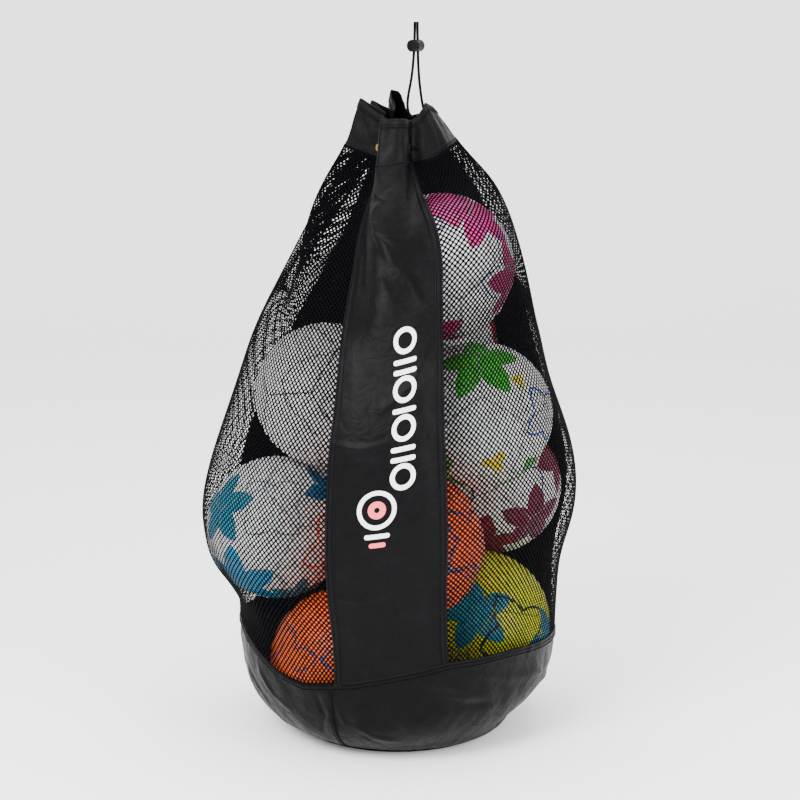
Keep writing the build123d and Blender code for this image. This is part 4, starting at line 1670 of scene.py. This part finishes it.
@dataclass
class Football:
    """A size 5 ball of twelve five-sided panels with sunk seams."""

    node: str
    shell: BallShell
    tilt: tuple[float, float, float] = (0.0, 0.0, 0.0)
    seam_depth: float = 0.9        # mm
    seam_width: float = 1.5        # mm
    steps: int = 15

    def build(self) -> bpy.types.Object:
        """Build the ball.

        Returns:
            The piece.
        """
        low, high = (np.array(v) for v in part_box(self.node))
        centre, radius = (low + high) / 2, float((high - low)[2]) / 2
        g = (1 + math.sqrt(5)) / 2
        faces12 = unit(np.array([(a, 0, b * g) for a in (-1, 1) for b in (-1, 1)] +
                                [(0, b * g, a) for a in (-1, 1) for b in (-1, 1)] +
                                [(b * g, a, 0) for a in (-1, 1) for b in (-1, 1)], dtype=float))
        corners = unit(np.array([(a, b, c) for a in (-1, 1) for b in (-1, 1) for c in (-1, 1)] +
                                [(0, a / g, b * g) for a in (-1, 1) for b in (-1, 1)] +
                                [(a / g, b * g, 0) for a in (-1, 1) for b in (-1, 1)] +
                                [(b * g, 0, a / g) for a in (-1, 1) for b in (-1, 1)], dtype=float))
        depth = np.array([0, 0.16, 0.34, 0.52, 0.68, 0.80, 0.89, 0.945, 0.972, 0.984, 0.992, 1.0])
        points, quads, seams, start = [], [], [], 0
        for middle in faces12:
            own = corners[np.argsort(-(corners @ middle))[:5]]
            east = unit(own[0] - (own[0] @ middle) * middle)
            north = np.cross(middle, east)
            own = own[np.argsort(np.arctan2(own @ north, own @ east))]
            for k in range(5):
                a, b = own[k], own[(k + 1) % 5]
                s = np.linspace(0, 1, self.steps)
                rim = unit(a + (b - a) * s[:, None])
                block = unit(middle + (rim[None] - middle) * depth[:, None, None])
                inward = (1 - depth) * 62.0
                sunk = self.seam_depth * np.exp(-((inward / self.seam_width) ** 2))
                crown = 0.25 * np.exp(-(((inward - 5) / 4) ** 2))
                reach = radius - (sunk + 0.25 - crown) * MM
                points.append((block * reach[:, None, None]).reshape(-1, 3))
                faces = grid_faces(len(depth), self.steps)
                quads.append(faces + start)
                seams += [row >= len(depth) - 3 for row in range(len(depth) - 1)
                          for _ in range(self.steps - 1)]
                start += len(depth) * self.steps
        turned = np.concatenate(points) @ np.array(
            Euler([math.radians(t) for t in self.tilt]).to_matrix()).T
        ball = mesh_piece(self.node + "_shell", turned, np.concatenate(quads)[:, ::-1])
        ball.location = Vector(centre.tolist())
        bpy.context.view_layer.update()
        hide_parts(self.node)
        shell, seam = self.shell.build()
        finish_piece(ball, "bag", self.node, shell, seam)
        ball.data.polygons.foreach_set("material_index", np.array(seams, dtype=np.int32))
        weld = ball.modifiers.new("joined_panels", "WELD")
        weld.merge_threshold = 0.02 * MM
        return ball


# ---------------------------------------------------------------- studio


@dataclass(frozen=True)
class Studio:
    """A pale floor that runs up into a wall, soft lights, and the camera."""

    aim: tuple[float, float, float] = (0.0, 0.0, 0.45)
    distance: float = 3.5
    elevation: float = 11.0        # degrees
    lens: float = 101.9            # mm on a 36 mm sensor
    shift: tuple[float, float] = (0.015, 0.05375)

    def camera(self) -> None:
        """Set up the camera."""
        data = bpy.data.cameras.new("camera")
        data.lens, data.sensor_width = self.lens, 36.0
        data.shift_x, data.shift_y = self.shift
        made = bpy.data.objects.new("camera", data)
        rise = math.radians(self.elevation)
        made.location = (self.aim[0], self.aim[1] - self.distance * math.cos(rise),
                         self.aim[2] + self.distance * math.sin(rise))
        made.rotation_euler = (math.pi / 2 - rise, 0, 0)
        bpy.context.scene.collection.objects.link(made)
        bpy.context.scene.camera = made

    def lamp(self, name: str, place: tuple[float, float, float], size: tuple[float, float], power: float,
             aim: tuple[float, float, float] = (0.0, 0.0, 0.5)) -> None:
        """Add a soft lamp that faces a point.

        Args:
            name: the lamp's name.
            place: where it stands.
            size: its width and height.
            power: watts.
            aim: the point.
        """
        data = bpy.data.lights.new(name, "AREA")
        data.shape, data.size, data.size_y, data.energy = "RECTANGLE", size[0], size[1], power
        made = bpy.data.objects.new(name, data)
        made.location = place
        made.rotation_euler = (Vector(aim) - Vector(place)).to_track_quat("-Z", "Y").to_euler()
        bpy.context.scene.collection.objects.link(made)

    def light(self) -> None:
        """Set up the floor, the world and the lamps."""
        turn = np.linspace(0, math.pi / 2, 20)
        side = np.concatenate([[[-12.0, 0.0]], np.stack([4 + 2 * np.sin(turn), 2 - 2 * np.cos(turn)], 1),
                               [[6.0, 9.0]]])
        points = np.array([[x, y, z] for x in (-12.0, 12.0) for y, z in side])
        n = len(side)
        floor = mesh_piece("studio_floor", points, [(i + 1, i, n + i, n + i + 1) for i in range(n - 1)])
        paper = bpy.data.materials.new("floor_paper")
        paper.use_nodes = True
        shader = paper.node_tree.nodes["Principled BSDF"]
        shader.inputs["Base Color"].default_value = linear("#ffffff")
        shader.inputs["Roughness"].default_value = 0.9
        floor.data.materials.append(paper)
        world = bpy.data.worlds.new("studio_air")
        world.use_nodes = True
        world.node_tree.nodes["Background"].inputs["Color"].default_value = (1.0, 1.0, 1.0, 1.0)
        world.node_tree.nodes["Background"].inputs["Strength"].default_value = 2.1
        bpy.context.scene.world = world
        self.lamp("key_lamp", (-1.5, -2.6, 2.6), (1.6, 1.6), 240.0)
        self.lamp("fill_lamp", (2.2, -2.4, 1.3), (1.4, 2.0), 120.0)
        self.lamp("top_lamp", (0.0, 0.4, 3.2), (2.4, 1.8), 60.0)


# ---------------------------------------------------------------- the whole bag


BALL_LOOKS: tuple[tuple[str, str, str, tuple[Patch, ...], tuple[float, float, float]], ...] = (
    ("ball_pink", "#f8f4f7", "#9a8fa0", (
        Patch(-52, 30, 30, 9, 5, 0.1, colour="#c4086a"), Patch(-52, 30, 36, 9, 5, 0.1, 1.4, "#3c3a86"),
        Patch(48, 52, 27, 10, 5, 0.3, colour="#d8108a"), Patch(70, -8, 24, 8, 5, 0.0, colour="#b00868"),
        Patch(70, -8, 30, 8, 5, 0.0, 1.3, "#33408f"), Patch(-8, 64, 22, 9, 5, 0.2, colour="#e03a96"),
        Patch(-20, -60, 26, 8, 5, 0.2, colour="#c4086a")), (12, 25, 0)),
    ("ball_white", "#fafaf9", "#26272a", (
        Patch(10, 10, 40, 7, 3, 0.15, 0.8, "#2b2c30"), Patch(80, -20, 34, 9, 5, 0.4, 0.7, "#54565c")),
        (20, -14, 30)),
    ("ball_green", "#f8fbf7", "#8f9a92", (
        Patch(-4, 56, 26, 10, 5, 0.1, colour="#30b41e"), Patch(-66, -42, 26, 10, 5, 0.3, colour="#46c41e"),
        Patch(60, 6, 19, 6, 4, 0.2, 2.2, "#1436c4"), Patch(12, -30, 8, 4, 3, 0.0, colour="#f0dc00"),
        Patch(78, -46, 22, 9, 5, 0.3, colour="#35a82a"), Patch(-46, 18, 5, 2, 3, 0.2, colour="#f0dc00"),
        Patch(38, 36, 5, 2, 3, 0.1, colour="#f0dc00")), (-16, 32, 10)),
    ("ball_maroon", "#f6f4f6", "#8d8790", (
        Patch(38, -22, 24, 9, 5, 0.2, colour="#7a0638"), Patch(-12, -46, 24, 9, 5, 0.4, colour="#8a0a40"),
        Patch(10, -4, 34, 7, 4, 0.1, 1.6, "#28305e"), Patch(74, 26, 22, 8, 5, 0.0, colour="#7a0638")),
        (8, 40, 22)),
    ("ball_teal", "#f7fafb", "#8a9296", (
        Patch(-56, 24, 24, 9, 5, 0.1, colour="#0886a4"), Patch(-40, -40, 27, 10, 5, 0.3, colour="#0090c0"),
        Patch(52, -8, 22, 7, 4, 0.25, 2.0, "#ee5a08"), Patch(-2, 30, 24, 6, 4, 0.0, 1.2, "#5b6f86"),
        Patch(66, 36, 20, 8, 5, 0.2, colour="#0a6fa0"), Patch(30, -58, 18, 7, 5, 0.2, colour="#0886a4")),
     (24, 8, -20)),
    ("ball_orange_navy", "#ff5a00", "#a9480f", (
        Patch(56, 12, 24, 9, 4, 0.1, 3.0, "#26336e"), Patch(24, -20, 20, 8, 4, 0.3, 2.4, "#2b3a7a"),
        Patch(78, -24, 20, 8, 5, 0.2, colour="#c4551a")), (14, -30, 6)),
    ("ball_yellow", "#e6ee00", "#9aa01e", (
        Patch(-6, 22, 24, 9, 5, 0.1, colour="#0892ac"), Patch(-46, 24, 22, 9, 5, 0.3, colour="#109cb4"),
        Patch(30, 4, 26, 8, 4, 0.25, 2.6, "#1d2a36"), Patch(70, -10, 22, 8, 5, 0.0, colour="#0884a8"),
        Patch(24, -42, 20, 8, 5, 0.2, colour="#0c98b0")), (-20, 14, 28)),
    ("ball_orange_blue", "#ff6400", "#b0520f", (
        Patch(20, 14, 26, 9, 5, 0.1, 2.4, "#3a4f9a"), Patch(-48, 10, 20, 8, 4, 0.3, 2.0, "#2d3c7e"),
        Patch(52, -24, 20, 8, 5, 0.2, colour="#35549c"), Patch(-10, -36, 18, 7, 5, 0.4, colour="#d05a1c")),
     (30, 20, 0)),
    # painted shade: this hidden white ball's shell is drawn grey for the shade it sits in behind the other
    # balls
    ("ball_grey_upper", "#c9cbce", "#55575c", (), (10, 0, 40)),
    ("ball_red", "#ecebea", "#8a8a8e", (
        Patch(160, 10, 30, 9, 5, 0.1, colour="#b52a2e"), Patch(90, 30, 26, 9, 5, 0.3, colour="#b52a2e"),
        Patch(20, 50, 22, 8, 5, 0.2, colour="#a92a30")), (0, 20, 30)),
    ("ball_plain", "#e9e9e7", "#6a6c70", (), (18, -8, 16)),
)

FRAME: dict = {}


def main() -> None:
    """Build the bag in order."""
    logging.basicConfig(level=logging.INFO, format="%(message)s")
    FRAME.update(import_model())

    studio = Studio()
    studio.camera()
    polypropylene = KnittedPolyester("braided_polypropylene", "#060607", "#101012", loop=1.1, depth=0.10)
    Drawcord(polypropylene.build(), MouldedNylon("heat_sealed_cord_end", "#070707").build()).build()

    band_cloth = CoatedPolyester("pvc_coated_polyester", "#060607", "#0b0b0d", 0.36, crease=20.0,
                                 crease_depth=1.2).build()
    band_hem_cloth = CoatedPolyester("pvc_coated_polyester_fold", "#070708", "#0d0d0f", 0.42,
                                     crease=14.0).build()
    satin = CoatedPolyester("pu_coated_polyester", "#060607", "#0b0b0d", 0.30, crease=22.0,
                            crease_depth=1.3).build()
    satin_fold = CoatedPolyester("pu_coated_polyester_fold", "#08080a", "#0e0e11", 0.38,
                                 crease=12.0).build()
    tape = CoatedPolyester("grosgrain_tape", "#08080a", "#101012", 0.6, weave=1.4, weave_depth=0.16).build()
    thread = KnittedPolyester("bonded_polyester_thread", "#010101", "#060607", loop=0.7, depth=0.08,
                              roughness=0.42).build()
    yarn = KnittedPolyester("knitted_polyester_net").build()

    form = BagForm()
    looks = [Football(node, BallShell(node.replace("ball", "pu_shell"), base, seam, patches), tilt)
             for node, base, seam, patches, tilt in BALL_LOOKS]
    middles = np.array([(np.array(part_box(b.node)[0]) + np.array(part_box(b.node)[1])) / 2 for b in looks])
    form.relax(middles, 0.110, 420)

    front = WovenPanel(form, form.panel("front"), "front_panel", ("front_hem_left", "front_hem_right"),
                       satin,
                       satin_fold, thread, ("shiny_cloth", "shiny_cloth_hem"), creases=(
                           Crease(((2, 352), (40, 349), (82, 355)), 4.5, 1.7),
                           Crease(((2, 136), (44, 131), (84, 134)), 5.0, 1.6),
                           Crease(((60, 700), (84, 640), (134, 550)), 7.0, 3.2),
                           Crease(((48, 690), (70, 628), (112, 545)), 6.0, -2.4),
                           Crease(((58, 742), (84, 716), (70, 694)), 4.0, 2.2),
                           Crease(((92, 746), (74, 722), (92, 700)), 4.0, -1.8),
                           Crease(((60, 662), (92, 640), (106, 622)), 5.0, 2.4),
                           Crease(((150, 470), (120, 430), (70, 405)), 8.0, 1.8),
                           Crease(((20, 250), (70, 230), (150, 236)), 9.0, 1.4)))
    front.build()
    Print(front, ScreenInk("white_plastisol", "#f2f2f0").build(),
          ScreenInk("coral_plastisol", "#e2555a").build()
          ).build()
    WovenPanel(form, form.panel("back"), "back_panel", ("back_hem_left", "back_hem_right"), satin,
               satin_fold, thread,
               ("shiny_cloth", "shiny_cloth_hem"), step=6.0 * MM, rumple=1.4).build()
    NetPanel(form, form.panel("left"), "mesh_left", yarn).build()
    NetPanel(form, form.panel("right"), "mesh_right", yarn).build()
    Base(form, band_cloth, band_hem_cloth, tape, thread).build()
    Collar(form, satin, satin_fold, thread).build()
    Hardware(MouldedNylon("moulded_nylon_barrel", "#1b1816", specular=0.09).build(),
             MouldedNylon("moulded_nylon_button",
             "#070707").build(), DrawnSteel("drawn_spring_steel").build(),
             TurnedBrass("stamped_brass").build()
             ).build()
    for ball in looks:
        ball.build()
    studio.light()


if __name__ == "__main__":
    main()
